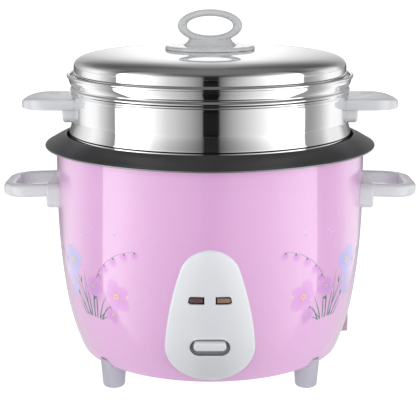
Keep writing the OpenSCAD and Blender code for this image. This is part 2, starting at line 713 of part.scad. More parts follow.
module element_terminals() color([0.7, 0.7, 0.66]) terminal_places() {
    translate([0, 0, plate_low - element_bulge - 4]) cylinder(r = 3, h = 4.5);
    translate([0, 0, plate_low - element_bulge - 12]) cylinder(r = 1.5, h = 8);
}

cap_top_t = 1.5;
ferrite_z = plate_z - 6.1;
sleeve_z = pivot_z + 8.4;
magnet_r = sleeve_r - sleeve_t - sleeve_play;
tilt_deg = 4.8;
lift_travel = pivot_back * sin(tilt_deg);
magnet_z = ferrite_z - cap_travel - seat_gap - lift_travel - magnet_t;
guide_in = sleeve_r + sleeve_play;
guide_out = guide_in + guide_t;
guide_screw_r = liner_hole_r + 5;
guide_edge = guide_screw_r + 5;
guide_hole = 0.85 * screw_r;
spring_r = guide_out + 0.5 + spring_wire;
module thermostat_cap() color([0.8, 0.8, 0.82]) rotate_extrude() polygon([
    [0, plate_z], [cap_r - 1.5, plate_z], [cap_r, plate_z - 1.5],
    [cap_r, plate_z - cap_skirt], [cap_r - 0.8, plate_z - cap_skirt], [cap_r - 0.8, plate_z - cap_top_t],
    [sleeve_r, plate_z - cap_top_t], [sleeve_r, sleeve_z], [sleeve_r - sleeve_t, sleeve_z],
    [sleeve_r - sleeve_t, ferrite_z], [0, ferrite_z]]);
// Guide tube on a flange screwed under the liner's floor
module thermostat_guide() color([0.74, 0.74, 0.76]) difference() {
    rotate_extrude() polygon([
        [guide_in, liner_z - guide_down], [guide_out, liner_z - guide_down], [guide_out, liner_z - guide_t],
        [guide_edge, liner_z - guide_t], [guide_edge, liner_z], [guide_out, liner_z],
        [guide_out, liner_z + guide_up], [guide_in, liner_z + guide_up]]);
    around(guide_angles) translate([guide_screw_r, 0, liner_z - guide_t - 1])
        cylinder(r = guide_hole, h = guide_t + 2);
}
module cap_spring() color([0.6, 0.6, 0.62]) {
    turns = 4;
    low = liner_z + spring_wire;
    rise = plate_z - cap_top_t - spring_wire - low;
    loft([for (i = [0:turns * 12]) let (
        a = i * 30,
        z = low + rise * i / (turns * 12)
    ) [for (b = [0:60:359]) let (r = spring_r - spring_wire * cos(b))
        [r * cos(a), r * sin(a), z + spring_wire * sin(b)]]]);
}
module thermostat_magnet() color([0.25, 0.25, 0.27]) translate([0, 0, magnet_z]) difference() {
    cylinder(r = magnet_r, h = magnet_t);
    translate([0, 0, -1]) cylinder(r = rod_r, h = magnet_t / 2 + 1);
}
module plunger_rod() color("silver") {
    fork_gap = 0.6;
    collar_t = 1.2;
    translate([0, 0, lever_low - fork_gap - collar_t]) cylinder(r = 5, h = collar_t);
    translate([0, 0, lever_low - fork_gap])
        cylinder(r = rod_r, h = magnet_z + magnet_t / 2 - lever_low + fork_gap);
    translate([0, 0, lever_low + lever_t + fork_gap]) cylinder(r = 5, h = collar_t);
}

// ---- Contacts and cut-outs under the liner ----
block_y = 10 - pivot_back;
blade_in = 2;
module blade_places() for (i = [0, 1])
    translate([block_side + blade_in, block_y - 4, liner_z - block_h / 2 + (0.5 - i) * blade_pitch])
        children();
module contact_block() color([0.35, 0.25, 0.2]) difference() {
    translate([block_side, block_y, liner_z - block_h]) cube([block_w, block_len, block_h]);
    blade_places() cube([blade_w, blade_len, blade_t]);
}
module contact_blades() color([0.8, 0.6, 0.35]) blade_places() cube([blade_w, blade_len, blade_t]);
module keep_warm_switch() color([0.3, 0.3, 0.32]) translate([warm_x, warm_y, liner_z]) mirror([0, 0, 1]) {
    cylinder(r = warm_r, h = 0.45 * warm_h);
    cylinder(r = 0.75 * warm_r, h = warm_h);
}
module thermal_fuse() color([0.85, 0.85, 0.8]) translate([-warm_x, warm_y, liner_z - 0.4 * fuse_w]) {
    cube([fuse_w, fuse_len, 0.8 * fuse_w], center = true);
    rotate([90, 0, 0]) cylinder(r = 0.16 * fuse_w, h = fuse_lead, center = true);
}

// ---- Power inlet ----
recess_mid = inlet_low + inlet_h / 2;
pin_back = inlet_face - recess_d;
recess_cut = 5;
pin_w = 4;
pin_t = 2;
module inlet_socket() color([0.7, 0.6, 0.66]) rotate([0, 0, inlet_turn]) difference() {
    translate([inlet_face - inlet_d, -inlet_w / 2, inlet_low]) cube([inlet_d, inlet_w, inlet_h]);
    translate([pin_back, 0, recess_mid]) rotate([90, 0, 90]) linear_extrude(recess_d + 1)
        polygon(mirrored([[recess_w / 2, -recess_h / 2], [recess_w / 2, recess_h / 2 - recess_cut],
            [recess_w / 2 - recess_cut, recess_h / 2]]));
    pin_places() translate([-4, -pin_t / 2, -pin_w / 2]) cube([5, pin_t, pin_w]);
}
module pin_places() for (p = [[-7, -2], [0, 2], [7, -2]])
    translate([pin_back, p[0], recess_mid + p[1]]) children();
module inlet_pins() color([0.85, 0.8, 0.55]) rotate([0, 0, inlet_turn])
    pin_places() translate([-9, -pin_t / 2, -pin_w / 2]) cube([9 + pin_len, pin_t, pin_w]);

// ---- Inner pot ----
flange_edge_c = [flange_r - flange_edge, lip_z - flange_fall - flange_edge];
module inner_pot() color([0.25, 0.25, 0.27]) rotate_extrude() union() {
    slope = flange_fall / (flange_r - flange_edge - mouth_r - pot_t);
    under = pot_t * sqrt(1 + slope * slope);
    outer_c = [pot_out - pot_corner, pot_z + pot_corner];
    polygon(concat(
        [[0, pot_z]],
        arc(outer_c, pot_corner, -90, 0, 14),
        arc([pot_out + 1.5, ledge_z - pot_t - 1.5], 1.5, 180, 90, 4),
        arc([mouth_r + pot_t - 1.2, ledge_z - pot_t + 1.2], 1.2, -90, 0, 4),
        [[mouth_r + pot_t, lip_z - under], [flange_edge_c[0], lip_z - flange_fall - under],
         [flange_edge_c[0], lip_z - flange_fall], [mouth_r + pot_t, lip_z]],
        arc([mouth_r + 0.6, lip_z - 0.6], 0.6, 90, 180, 4),
        arc([mouth_r - 1, ledge_z + 1], 1, 0, -90, 4),
        arc([pot_r + 1.5, ledge_z - 1.5], 1.5, 90, 180, 4),
        flip(arc(outer_c, pot_corner - pot_t, -90, 0, 14)),
        [[0, pot_z + pot_t]]));
    translate(flange_edge_c) circle(r = flange_edge);
}

// ---- Steamer ----
steam_wall = pot_r + wall_over;
steam_foot_r = mouth_r - foot_gap;
basket_r = pot_r - basket_clear;
rim_grow = 2.4;
bead_c = [steam_wall + rim_grow + 0.1, steam_rim_z - rim_bead];
ear_mid = ear_top - ear_foot_h / 2;
function bump(z, c, w) = abs(z - c) < w ? pow(cos(90 * (z - c) / w), 2) : 0;
// Steamer's outer radius above the pot's lip: flared foot, plain wall, two beads and a widening rim
function steam_at(z) = steam_wall
    + (z < lip_z + flare_h ? (steam_foot_r - steam_wall) * pow(1 - (z - lip_z) / flare_h, 1.8) : 0)
    + 0.7 * bump(z, steam_rim_z - 16.1, 1.2) + 1.6 * bump(z, steam_rim_z - 12.35, 2.1)
    + (z > steam_rim_z - 10 ? rim_grow * sin(min(90, 90 * (z - steam_rim_z + 10) / 6.3)) : 0);
module steamer_basket() color([0.85, 0.86, 0.87]) difference() {
    zs = concat(
        [for (i = [0:8]) lip_z + flare_h * i / 8],
        [for (i = [0:34]) steam_rim_z - 17.5 + 16.1 * i / 34]);
    foot_z = ledge_z + seat_gap;
    foot_c = [steam_foot_r - 2, foot_z + 2];
    turn_c = [basket_r + 1.8, foot_z - 1.8 + steam_t];
    rotate_extrude() union() {
        polygon(concat(
            [[basket_r - 4, basket_z], [basket_r, basket_z]],
            arc(turn_c - [0, steam_t], 1.8, 180, 90, 4),
            arc(foot_c, 2, -90, 0, 5),
            [for (z = zs) [steam_at(z), z]],
            [for (z = flip(zs)) [steam_at(z) - steam_t, z]],
            flip(arc(foot_c, 2 - steam_t, -90, 0, 5)),
            flip(arc(turn_c, 1.8 + steam_t, 180, 90, 4)),
            [[basket_r - steam_t, basket_z + steam_t], [basket_r - 4, basket_z + steam_t]]));
        translate(bead_c) circle(r = rim_bead);
    }
    both_sides() rivet_places() translate([0, 0, -3]) cylinder(r = rivet_r + 0.1, h = 6);
}
module steamer_floor() color([0.85, 0.86, 0.87]) translate([0, 0, basket_z + steam_t]) difference() {
    cylinder(r = basket_r - steam_t - 0.1, h = steam_t);
    for (k = [1:steam_rings]) around([0:360 / (6 * k):359]) translate([k * 15.5, 0, -1])
        cylinder(r = steam_hole_r, h = 3);
    translate([0, 0, -1]) cylinder(r = steam_hole_r, h = 3);
}
module rivet_places() for (s = [-1, 1]) rotate([0, 0, s * asin(rivet_y / steam_wall)])
    translate([steam_wall, 0, ear_mid - 2]) rotate([0, 90, 0]) children();
ear_reach = steam_wall + ear_out;
// Plan of a steamer handle, shrunk by d
function ear_plan(d) = let (r = ear_corner - d, x = ear_reach - ear_corner, y = ear_half - ear_corner) concat(
    [[steam_wall - 12, -ear_half + d]],
    arc([x, -y], r, -90, 0, 8), arc([x, y], r, 0, 90, 8),
    [[steam_wall - 12, ear_half - d]]);
module steamer_handle_right() color([0.9, 0.9, 0.91]) difference() {
    union() {
        difference() {
            translate([0, 0, ear_top - ear_t]) linear_extrude(ear_t) polygon(ear_plan(0));
            intersection() {
                translate([0, 0, ear_top - ear_t - 1])
                    linear_extrude(ear_t - 1.5) polygon(ear_plan(ear_wall));
                translate([steam_wall + 10, -ear_half, ear_top - 20]) cube([60, 2 * ear_half, 20]);
            }
        }
        translate([steam_wall - 12, 0, ear_mid]) rotate([90, 0, 90])
            linear_extrude(20.5) polygon(rounded(2 * ear_half - 6, ear_foot_h, 6));
        translate([steam_wall + 8, -1, ear_top - ear_t + 0.6]) cube([ear_out - 9.5, 2, ear_t - 2]);
    }
    translate([0, 0, ear_top - 40]) cylinder(r = steam_wall + skin_gap, h = 60);
    rivet_places() translate([0, 0, -1]) cylinder(r = rivet_r, h = 7);
}
module steamer_handle_left() mirror([1, 0, 0]) steamer_handle_right();
module steamer_rivets() color("silver") both_sides() rivet_places() {
    head = 0.35 * rivet_head;
    translate([0, 0, -steam_t - skin_gap - head]) cylinder(r1 = 0.7 * rivet_head, r2 = rivet_head, h = head);
    translate([0, 0, -steam_t - skin_gap]) cylinder(r = rivet_r, h = steam_t + 5);
}

// ---- Lid and knob ----
lid_r = steam_wall - steam_t - lid_clear;
lid_lip_r = steam_at(lid_seat_z) - steam_t - 0.35;
// Height of the lid's dome above its skirt, at radius r, for a dome of radius rr and rise h
function dome(r, rr, h) = h * pow(1 - pow(min(r / rr, 1), 4), 0.296);
module lid() color([0.86, 0.87, 0.88]) difference() {
    turns = [for (i = [0:22]) sin(90 * i / 22)];
    rotate_extrude() polygon(concat(
        [for (s = turns) [s * lid_r, skirt_z + dome(s * lid_r, lid_r, lid_rise)]],
        [[lid_r, lid_seat_z + 2.2], [lid_lip_r, lid_seat_z + 0.9], [lid_lip_r, lid_seat_z + 0.2],
         [lid_r - lid_t, lid_seat_z + 1.4]],
        [for (s = flip(turns)) let (r = s * (lid_r - lid_t))
            [r, skirt_z + dome(r, lid_r - lid_t, lid_rise - lid_t)]]));
    translate([0, 0, crown_z - 3]) cylinder(r = screw_r + 0.2, h = 6);
}
module knob_disc() color([0.72, 0.74, 0.75]) rotate_extrude() polygon(concat(
    [[screw_r + 0.2, crown_z], [disc_r - disc_t / 2, crown_z]],
    arc([disc_r - disc_t / 2, crown_z + disc_t / 2], disc_t / 2, -90, 90, 6),
    [[screw_r + 0.2, disc_z]]));
module knob_ring() color([0.72, 0.74, 0.75]) difference() {
    foot_top = 2.5;
    mid_z = disc_z + foot_top + ring_h / 2;
    union() {
        loft([for (t = [0:9:359]) let (
            o = [ring_w / 2 * cos(t), mid_z + ring_h / 2 * sin(t)],
            i = [(ring_w / 2 - ring_side) * cos(t), mid_z + (ring_h / 2 - ring_top) * sin(t)],
            c = (o + i) / 2,
            d = (o - i) / 2
        ) [for (b = [0:30:359]) let (u = soft(cos(b), 0.75), v = soft(sin(b), 0.75) * ring_d / 2)
            [c[0] + d[0] * u, v, c[1] + d[1] * u]]], closed = true);
        loft([for (s = [0:0.25:1]) let (
            w = waist_w + (knob_foot_w - waist_w) * pow(1 - s, 2),
            d = ring_d + 9 * pow(1 - s, 2)
        ) [for (b = [0:15:359]) [w / 2 * cos(b), d / 2 * sin(b), disc_z + s * (foot_top + ring_top - 1.2)]]]);
    }
    translate([0, 0, disc_z - 1]) cylinder(r = screw_r, h = 5);
}
washer_t = 1;
washer_z = crown_z - lid_t - skin_gap - washer_t;
module knob_washer() color("silver") translate([0, 0, washer_z]) difference() {
    cylinder(r = 4 * screw_r, h = washer_t);
    translate([0, 0, -1]) cylinder(r = screw_hole_r, h = washer_t + 2);
}
module knob_screw() color("silver") translate([0, 0, washer_z])
    pan_screw(1.3 * head_r, disc_z + 3.5 - washer_z, screw_r);

outer_shell();
inner_liner();
bottom_plate();
bottom_screws();
foot_front_left();
foot_front_right();
foot_back_left();
foot_back_right();
foot_screws();
body_handle_left();
body_handle_right();
handle_screws();
control_panel();
warm_lens();
cook_lens();
lamp_holder();
neon_lamps();
switch_key();
switch_lever();
lever_bracket();
pivot_pin();
heating_plate();
plate_posts();
plate_screws();
element_terminals();
thermostat_cap();
thermostat_guide();
cap_spring();
thermostat_magnet();
plunger_rod();
contact_block();
contact_blades();
keep_warm_switch();
thermal_fuse();
inlet_socket();
inlet_pins();
inner_pot();
steamer_basket();
steamer_floor();
steamer_handle_left();
steamer_handle_right();
steamer_rivets();
lid();
knob_disc();
knob_ring();
knob_screw();
knob_washer();
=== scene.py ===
"""Looks of a drum rice cooker with its pot, steamer and lid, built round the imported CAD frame.

Sizes are in millimetres and are turned into metres as each mesh is made. Z is up, the front faces -Y.
"""
from math import atan2, copysign, cos, degrees, hypot, pi, radians, sin, sqrt

import bmesh
import bpy
from mathutils import Matrix, Vector


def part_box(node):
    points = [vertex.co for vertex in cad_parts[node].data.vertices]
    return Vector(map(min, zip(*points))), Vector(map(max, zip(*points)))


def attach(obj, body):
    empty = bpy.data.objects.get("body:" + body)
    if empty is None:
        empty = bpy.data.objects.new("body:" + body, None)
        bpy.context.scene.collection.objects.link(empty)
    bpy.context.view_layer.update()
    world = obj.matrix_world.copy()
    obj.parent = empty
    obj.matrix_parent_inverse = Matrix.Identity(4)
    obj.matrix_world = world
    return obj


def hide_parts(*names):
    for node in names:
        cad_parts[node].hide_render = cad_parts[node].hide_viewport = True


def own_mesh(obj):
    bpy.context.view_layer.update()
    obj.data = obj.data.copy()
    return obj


MM = 0.001
FULL_TURN = 2 * pi
TURN_STEPS = 240          # steps of a full spin
SHARP_ANGLE = radians(38)
MERGE_MM = 0.001          # vertices this close become one
SAME_POINT = 1e-4         # millimetres within which neighbours of an outline count as one point
SKIN_GAP = 0.02           # between a handle's foot and the wall behind it
ON_PLANE = 1e-7           # metres within which a cut takes a vertex to lie on its plane

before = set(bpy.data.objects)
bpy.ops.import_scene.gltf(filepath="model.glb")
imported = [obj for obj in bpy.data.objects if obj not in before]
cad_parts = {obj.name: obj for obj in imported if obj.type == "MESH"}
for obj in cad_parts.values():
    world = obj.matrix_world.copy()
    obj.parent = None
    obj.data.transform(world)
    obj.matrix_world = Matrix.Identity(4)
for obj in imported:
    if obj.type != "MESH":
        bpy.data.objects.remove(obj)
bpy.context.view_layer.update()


# ---- Camera ----
CAMERA_BACK = 0.9073      # metres from the cooker's axis
CAMERA_HEIGHT = 0.336
CAMERA_PITCH = 12.61      # degrees below level
CAMERA_LENS = 96.33       # millimetres, as is the sensor
SENSOR_W = 36
NEAR_CLIP, FAR_CLIP = 0.01, 100


def make_camera():
    data = bpy.data.cameras.new("studio_camera")
    data.sensor_width = SENSOR_W
    data.lens = CAMERA_LENS
    data.clip_start, data.clip_end = NEAR_CLIP, FAR_CLIP
    camera = bpy.data.objects.new("studio_camera", data)
    camera.location = (0, -CAMERA_BACK, CAMERA_HEIGHT)
    camera.rotation_euler = (radians(90 - CAMERA_PITCH), 0, 0)
    bpy.context.collection.objects.link(camera)
    bpy.context.scene.camera = camera


make_camera()


# ---- Sizes read from the frame, in millimetres ----
def low_high(node):
    low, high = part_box(node)
    return low / MM, high / MM


def reach(node):
    return low_high(node)[1].x


shell_low, shell_high = low_high("outer_shell")
foot_h, rim_z, shell_r = shell_low.z, shell_high.z, shell_high.x
pot_low, pot_high = low_high("inner_pot")
pot_z, lip_z, flange_r = pot_low.z, pot_high.z, pot_high.x
steam_rim_z = low_high("steamer_basket")[1].z
basket_z = low_high("steamer_basket")[0].z
lid_seat_z = low_high("lid")[0].z
crown_z = low_high("lid")[1].z
disc_z = low_high("knob_disc")[1].z
disc_r = reach("knob_disc")
ring_top_z = low_high("knob_ring")[1].z
handle_tip = reach("body_handle_right")
ear_tip = reach("steamer_handle_right")
panel_low, panel_high = low_high("control_panel")
key_low, key_high = low_high("switch_key")
inlet_low, inlet_high = low_high("inlet_socket")

# ---- Sizes of the shapes ----
SHELL_T = 0.9
RIM_ROUND = 2.5
FLANGE_W = 24.4           # inward flange under the shell
DRAW_H = 121              # height of the drawn-in part of the shell
CURVE_H = 43              # height of its tighter curve
SIDE_RADIUS = 520
BASE_RADIUS = 180
COLLAR_R = 118.6

POT_R = 110
POT_T = 1.2
POT_CORNER = 26
LEDGE_DROP = 7
MOUTH_R = 116
FLANGE_FALL = 8.1
FLANGE_EDGE = 0.9

STEAM_T = 0.7
STEAM_WALL = 111
STEAM_FOOT_R = 114.1
BASKET_R = 108.6
FLARE_H = 12
FLARE_POWER = 1.15
TUCK_H = 1.8              # where the foot turns in above the pot's lip
TUCK = 1.3
RIM_GROW = 2.4            # how far the rim widens, from this depth and over this height
RIM_DEPTH = 10
RIM_GROW_H = 6.3
RIM_BEAD = 1.4
STEAM_BEADS = ((16.1, 1.5, 0.5), (12.35, 2.4, 1.25))   # depth below the rim, half width, height

LID_T = 0.7
LID_R = 109.2
LID_RISE = 15
LID_GAP = 0.35            # between the lid's lip and the steamer's wall

PANEL_T = 3.2
PANEL_ROUND = 1.6
PILLOW_W = 12             # soft fall of the face towards its edge
PILLOW_FALL = 1.4
SLOT_ROUND = 0.9
KEY_ROUND = 1.5
KEY_UNDER = 1.0           # how far the key's underside clears its outline
SLOT_W = 29.7
SLOT_H = 13.7
SLOT_Z = foot_h + 31.75
POCKET_FLOOR = 113.3
LENS_Z = foot_h + 69.8
LENS_W = 12.2
LENS_H = 5.9
LENS_IN = 4.2

HANDLE_DEPTH = 43.5       # below the pot's lip
EAR_DEPTH = 19            # below the steamer's rim

handle_z = lip_z - HANDLE_DEPTH
ear_top = steam_rim_z - EAR_DEPTH
draw_z = foot_h + DRAW_H
curve_z = foot_h + CURVE_H
side_sine = (draw_z - curve_z) / SIDE_RADIUS
side_fall = SIDE_RADIUS * (1 - sqrt(1 - side_sine ** 2))


def shell_at(z):
    """Outer radius of the shell at a height: straight, a long curve, then a tighter one."""
    if z >= draw_z:
        return shell_r
    if z >= curve_z:
        return shell_r - SIDE_RADIUS * (1 - sqrt(1 - ((draw_z - z) / SIDE_RADIUS) ** 2))
    sine = side_sine + (curve_z - max(z, foot_h)) / BASE_RADIUS
    fall = BASE_RADIUS * (sqrt(1 - side_sine ** 2) - sqrt(1 - sine ** 2))
    return shell_r - side_fall - fall


def bump(z, centre, half_width):
    """Smooth rise of height 1 round a centre."""
    away = abs(z - centre) / half_width
    return cos(away * pi / 2) ** 2 if away < 1 else 0


def steam_at(z):
    """Outer radius of the steamer above the pot's lip: flared foot, wall, two beads, widening rim."""
    r = STEAM_WALL
    for depth, half_width, height in STEAM_BEADS:
        r += height * bump(z, steam_rim_z - depth, half_width)
    if z < lip_z + FLARE_H:
        r += (STEAM_FOOT_R - STEAM_WALL) * (1 - (z - lip_z) / FLARE_H) ** FLARE_POWER
    if z < lip_z + TUCK_H:
        r -= TUCK * (1 - (z - lip_z) / TUCK_H) ** 2
    if z > steam_rim_z - RIM_DEPTH:
        r += RIM_GROW * sin(min(pi / 2, (z - steam_rim_z + RIM_DEPTH) / RIM_GROW_H * pi / 2))
    return r


# ---- Flat outlines ----
def arc(centre, radius, start, end, count):
    """Points of an arc, angles in degrees."""
    turns = [radians(start + (end - start) * i / count) for i in range(count + 1)]
    return [(centre[0] + radius * cos(t), centre[1] + radius * sin(t)) for t in turns]


def steps(start, end, count):
    return [start + (end - start) * i / count for i in range(count + 1)]


def angles(count):
    """Even angles of a full turn."""
    return [FULL_TURN * i / count for i in range(count)]


def rounded(width, height, radius, count=8):
    """Rounded rectangle round the origin."""
    x, y = width / 2 - radius, height / 2 - radius
    return (arc((x, y), radius, 0, 90, count) + arc((-x, y), radius, 90, 180, count)
            + arc((-x, -y), radius, 180, 270, count) + arc((x, -y), radius, 270, 360, count))


def heading(p, q):
    return degrees(atan2(q[1] - p[1], q[0] - p[0]))


def meet(p, d, q, e):
    """Point at distances d and e from two centres, on the far side towards -X."""
    run, rise = q[0] - p[0], q[1] - p[1]
    length = hypot(run, rise)
    along = (d * d - e * e + length * length) / (2 * length)
    off = sqrt(d * d - along * along)
    return (p[0] + (along * run + off * rise) / length, p[1] + (along * rise - off * run) / length)


EGG_W = 67.8
EGG_H = 105.4
EGG_WIDE_H = 28.2
EGG_TOP_R = 23
EGG_LOW_R = 40
EGG_SIDE_R = 240


def egg(grow=0.0, count=14):
    """Outline of the control panel in X and Z, from tangent arcs."""
    low = panel_low.z
    low_c = (0, low + EGG_LOW_R)
    wide_z = low + EGG_WIDE_H
    rise = low_c[1] - wide_z
    corner_r = (EGG_LOW_R ** 2 - (EGG_W / 2) ** 2 - rise ** 2) / (2 * (EGG_LOW_R - EGG_W / 2))
    corner_c = (EGG_W / 2 - corner_r, wide_z)
    top_c = (0, low + EGG_H - EGG_TOP_R)
    side_c = meet(top_c, EGG_SIDE_R - EGG_TOP_R, corner_c, EGG_SIDE_R - corner_r)
    a1, a2, a3 = heading(low_c, corner_c), heading(side_c, corner_c), heading(side_c, top_c)
    half = (arc(low_c, EGG_LOW_R + grow, -90, a1, count)[1:]
            + arc(corner_c, corner_r + grow, a1, a2, count)[1:]
            + arc(side_c, EGG_SIDE_R + grow, a2, a3, count)[1:]
            + arc(top_c, EGG_TOP_R + grow, a3, 90, count)[1:])
    left = [(-x, z) for x, z in reversed(half[:-1])]
    return [(0, low - grow)] + half + left


# ---- Mesh helpers ----
def ring(bm, points):
    """Closed loop of edges through points in millimetres. Returns its edges."""
    apart = [p for i, p in enumerate(points) if (Vector(p) - Vector(points[i - 1])).length > SAME_POINT]
    verts = [bm.verts.new(Vector(p) * MM) for p in apart]
    return [bm.edges.new((verts[i - 1], verts[i])) for i in range(len(verts))]


def turned(bm, profile, closed=False, count=TURN_STEPS):
    """Spins a profile of (radius, height) points about Z."""
    points = [(r, 0, z) for r, z in profile]
    if closed:
        edges = ring(bm, points)
        geometry = list({v for e in edges for v in e.verts}) + edges
    else:
        verts = [bm.verts.new(Vector(p) * MM) for p in points]
        geometry = verts + [bm.edges.new(pair) for pair in zip(verts, verts[1:])]
    bmesh.ops.spin(bm, geom=geometry, cent=(0, 0, 0), axis=(0, 0, 1), angle=FULL_TURN, steps=count,
                   use_merge=True, use_duplicate=False)


def bridge(bm, loops, cyclic=False):
    """Joins each loop of edges to the next."""
    pairs = list(zip(loops, loops[1:])) + ([(loops[-1], loops[0])] if cyclic else [])
    for a, b in pairs:
        bmesh.ops.bridge_loops(bm, edges=a + b)


def cap(bm, *loops):
    """Fills each loop of edges with a face."""
    for loop in loops:
        bmesh.ops.contextual_create(bm, geom=loop)


def loft(bm, rings, cyclic=False):
    """Skin through rings of points, with its ends closed unless it is cyclic. Returns its loops of edges."""
    loops = [ring(bm, points) for points in rings]
    bridge(bm, loops, cyclic)
    if not cyclic:
        cap(bm, loops[0], loops[-1])
    return loops


def merge(bm):
    bmesh.ops.remove_doubles(bm, verts=bm.verts, dist=MERGE_MM * MM)


def face_outwards(bm):
    merge(bm)
    bmesh.ops.recalc_face_normals(bm, faces=bm.faces)


def face_side(bm, side):
    """Mirrors a shape that was made for the right if it is for the left. Returns the name of its side."""
    if side < 0:
        bmesh.ops.scale(bm, vec=(-1, 1, 1), verts=bm.verts)
    face_outwards(bm)
    return "right" if side > 0 else "left"


def slice_faces(bm, faces, point, normal):
    """Cuts faces by a plane through a point in metres."""
    geometry = faces + list({e for f in faces for e in f.edges} | {v for f in faces for v in f.verts})
    bmesh.ops.bisect_plane(bm, geom=geometry, dist=ON_PLANE, plane_co=point, plane_no=normal)


def bevel(bm, edges, width, segments):
    bmesh.ops.bevel(bm, geom=edges, offset=width * MM, offset_type="OFFSET", affect="EDGES",
                    segments=segments, profile=0.5, material=-1, clamp_overlap=True)


def prism(bm, outline, place, depth):
    """Outline of (x, y) points pushed through depth. place turns (x, y, level) into a point."""
    return loft(bm, [[place(x, y, level) for x, y in outline] for level in (0, depth)])


def add_mesh(name, bm, *materials):
    """Makes an object of the bmesh."""
    mesh = bpy.data.meshes.new(name)
    bm.to_mesh(mesh)
    bm.free()
    for material in materials:
        mesh.materials.append(material)
    obj = bpy.data.objects.new(name, mesh)
    bpy.context.collection.objects.link(obj)
    return obj


def piece(name, bm, body, finish, slot, *nodes):
    """Makes the smooth-shaded object, ties it to its body and hides the nodes it stands for."""
    for face in bm.faces:
        face.smooth = True
    for edge in bm.edges:
        edge.smooth = not (len(edge.link_faces) == 2 and edge.calc_face_angle(0) > SHARP_ANGLE)
    obj = add_mesh(name, bm, *(finish if isinstance(finish, list) else [finish]))
    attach(obj, body)
    if nodes:
        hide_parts(*nodes)
    return obj


def from_cad(node, body, finish, slot, name=None):
    """Welded, smooth-shaded copy of a CAD node."""
    bm = bmesh.new()
    bm.from_mesh(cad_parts[node].data)
    merge(bm)
    return piece(name or node + "_skin", bm, body, finish, slot, node)


def cut_window(bm, across, low, high, turn=0.0, front=0.0):
    """Takes the faces out of a window seen along -Y, turned about Z: |x| < across, low < z < high."""
    spun = Matrix.Rotation(turn, 3, "Z")
    planes = [((-across, 0, 0), (1, 0, 0)), ((across, 0, 0), (1, 0, 0)), ((0, 0, low), (0, 0, 1)),
              ((0, 0, high), (0, 0, 1))]
    sight = spun @ Vector((0, -1, 0))

    def near():
        return [f for f in bm.faces if f.calc_center_median().dot(sight) > front * MM]

    for point, normal in planes:
        slice_faces(bm, near(), spun @ (Vector(point) * MM), spun @ Vector(normal))
    out = []
    for face in near():
        p = (spun.inverted() @ face.calc_center_median()) / MM
        if abs(p.x) < across and low < p.z < high:
            out.append(face)
    bmesh.ops.delete(bm, geom=out, context="FACES")


# ---- Node groups ----
def feed(tree, socket, value):
    """Gives a socket a value of its own, or links another socket to it."""
    if isinstance(value, bpy.types.NodeSocket):
        tree.links.new(value, socket)
    else:
        socket.default_value = value


def add_node(tree, kind, **inputs):
    """New shader node with its named inputs fed."""
    node = tree.nodes.new("ShaderNode" + kind)
    for label, value in inputs.items():
        feed(tree, node.inputs[label], value)
    return node


def maths(tree, operation, a, b):
    node = add_node(tree, "Math")
    node.operation = operation
    feed(tree, node.inputs[0], a)
    feed(tree, node.inputs[1], b)
    return node.outputs[0]


def times(tree, a, b):
    return maths(tree, "MULTIPLY", a, b)


def noise(tree, vector, scale, detail):
    return add_node(tree, "TexNoise", Vector=vector, Scale=scale, Detail=detail).outputs["Fac"]


def blend(tree, a, b, share):
    """The given share of a, with b for the rest."""
    return maths(tree, "ADD", times(tree, a, share), times(tree, b, round(1 - share, 6)))


def parts_of(tree, vector):
    """Outputs X, Y and Z of a vector."""
    return add_node(tree, "SeparateXYZ", Vector=vector).outputs


def group(name, extra, **numbers):
    """Node group that takes a vector and the named numbers, and gives a roughness and one more number."""
    tree = bpy.data.node_groups.new(name, "ShaderNodeTree")
    tree.interface.new_socket("Vector", in_out="INPUT", socket_type="NodeSocketVector")
    for label, value in numbers.items():
        tree.interface.new_socket(label, in_out="INPUT", socket_type="NodeSocketFloat").default_value = value
    for label in (extra, "Roughness"):
        tree.interface.new_socket(label, in_out="OUTPUT", socket_type="NodeSocketFloat")
    return tree, tree.nodes.new("NodeGroupInput").outputs, tree.nodes.new("NodeGroupOutput").inputs


def spread_roughness(tree, given, out, value):
    """Lets the roughness vary with a value that lies round one half."""
    spread = times(tree, maths(tree, "SUBTRACT", value, 0.5), given["Spread"])
    tree.links.new(maths(tree, "ADD", given["Roughness"], spread), out["Roughness"])


def make_variation_group():
    """Roughness and tint that drift slowly over a surface, with a finer speckle in them."""
    tree, given, out = group("surface_drift", "Drift", Scale=18.0, Roughness=0.3, Spread=0.06)
    coarse = noise(tree, given["Vector"], given["Scale"], 2)
    fine = noise(tree, given["Vector"], times(tree, given["Scale"], 22), 2)
    both = blend(tree, coarse, fine, 0.7)
    spread_roughness(tree, given, out, both)
    tree.links.new(both, out["Drift"])
    return tree


def make_polish_group():
    """Fine circular polishing lines round Z, as a height and a roughness."""
    tree, given, out = group("polish_lines", "Height", Pitch=900.0, Roughness=0.08, Spread=0.04)
    place = parts_of(tree, given["Vector"])
    flat = add_node(tree, "CombineXYZ", X=place["X"], Y=place["Y"])
    length = add_node(tree, "VectorMath", Vector=flat.outputs[0])
    length.operation = "LENGTH"
    rings = add_node(tree, "CombineXYZ", X=length.outputs["Value"], Y=place["Z"])
    lines = noise(tree, rings.outputs[0], given["Pitch"], 4)
    spread_roughness(tree, given, out, blend(tree, lines, noise(tree, given["Vector"], 40.0, 2), 0.6))
    tree.links.new(lines, out["Height"])
    return tree


surface_drift = make_variation_group()
polish_lines = make_polish_group()


# ---- Materials ----
def linear(r, g, b):
    """Colour from 0-255 screen values, none below 11, to linear light."""
    return tuple(((v / 255 + 0.055) / 1.055) ** 2.4 for v in (r, g, b)) + (1,)


def darker(colour, share):
    return tuple(c * share for c in colour[:3]) + (1,)


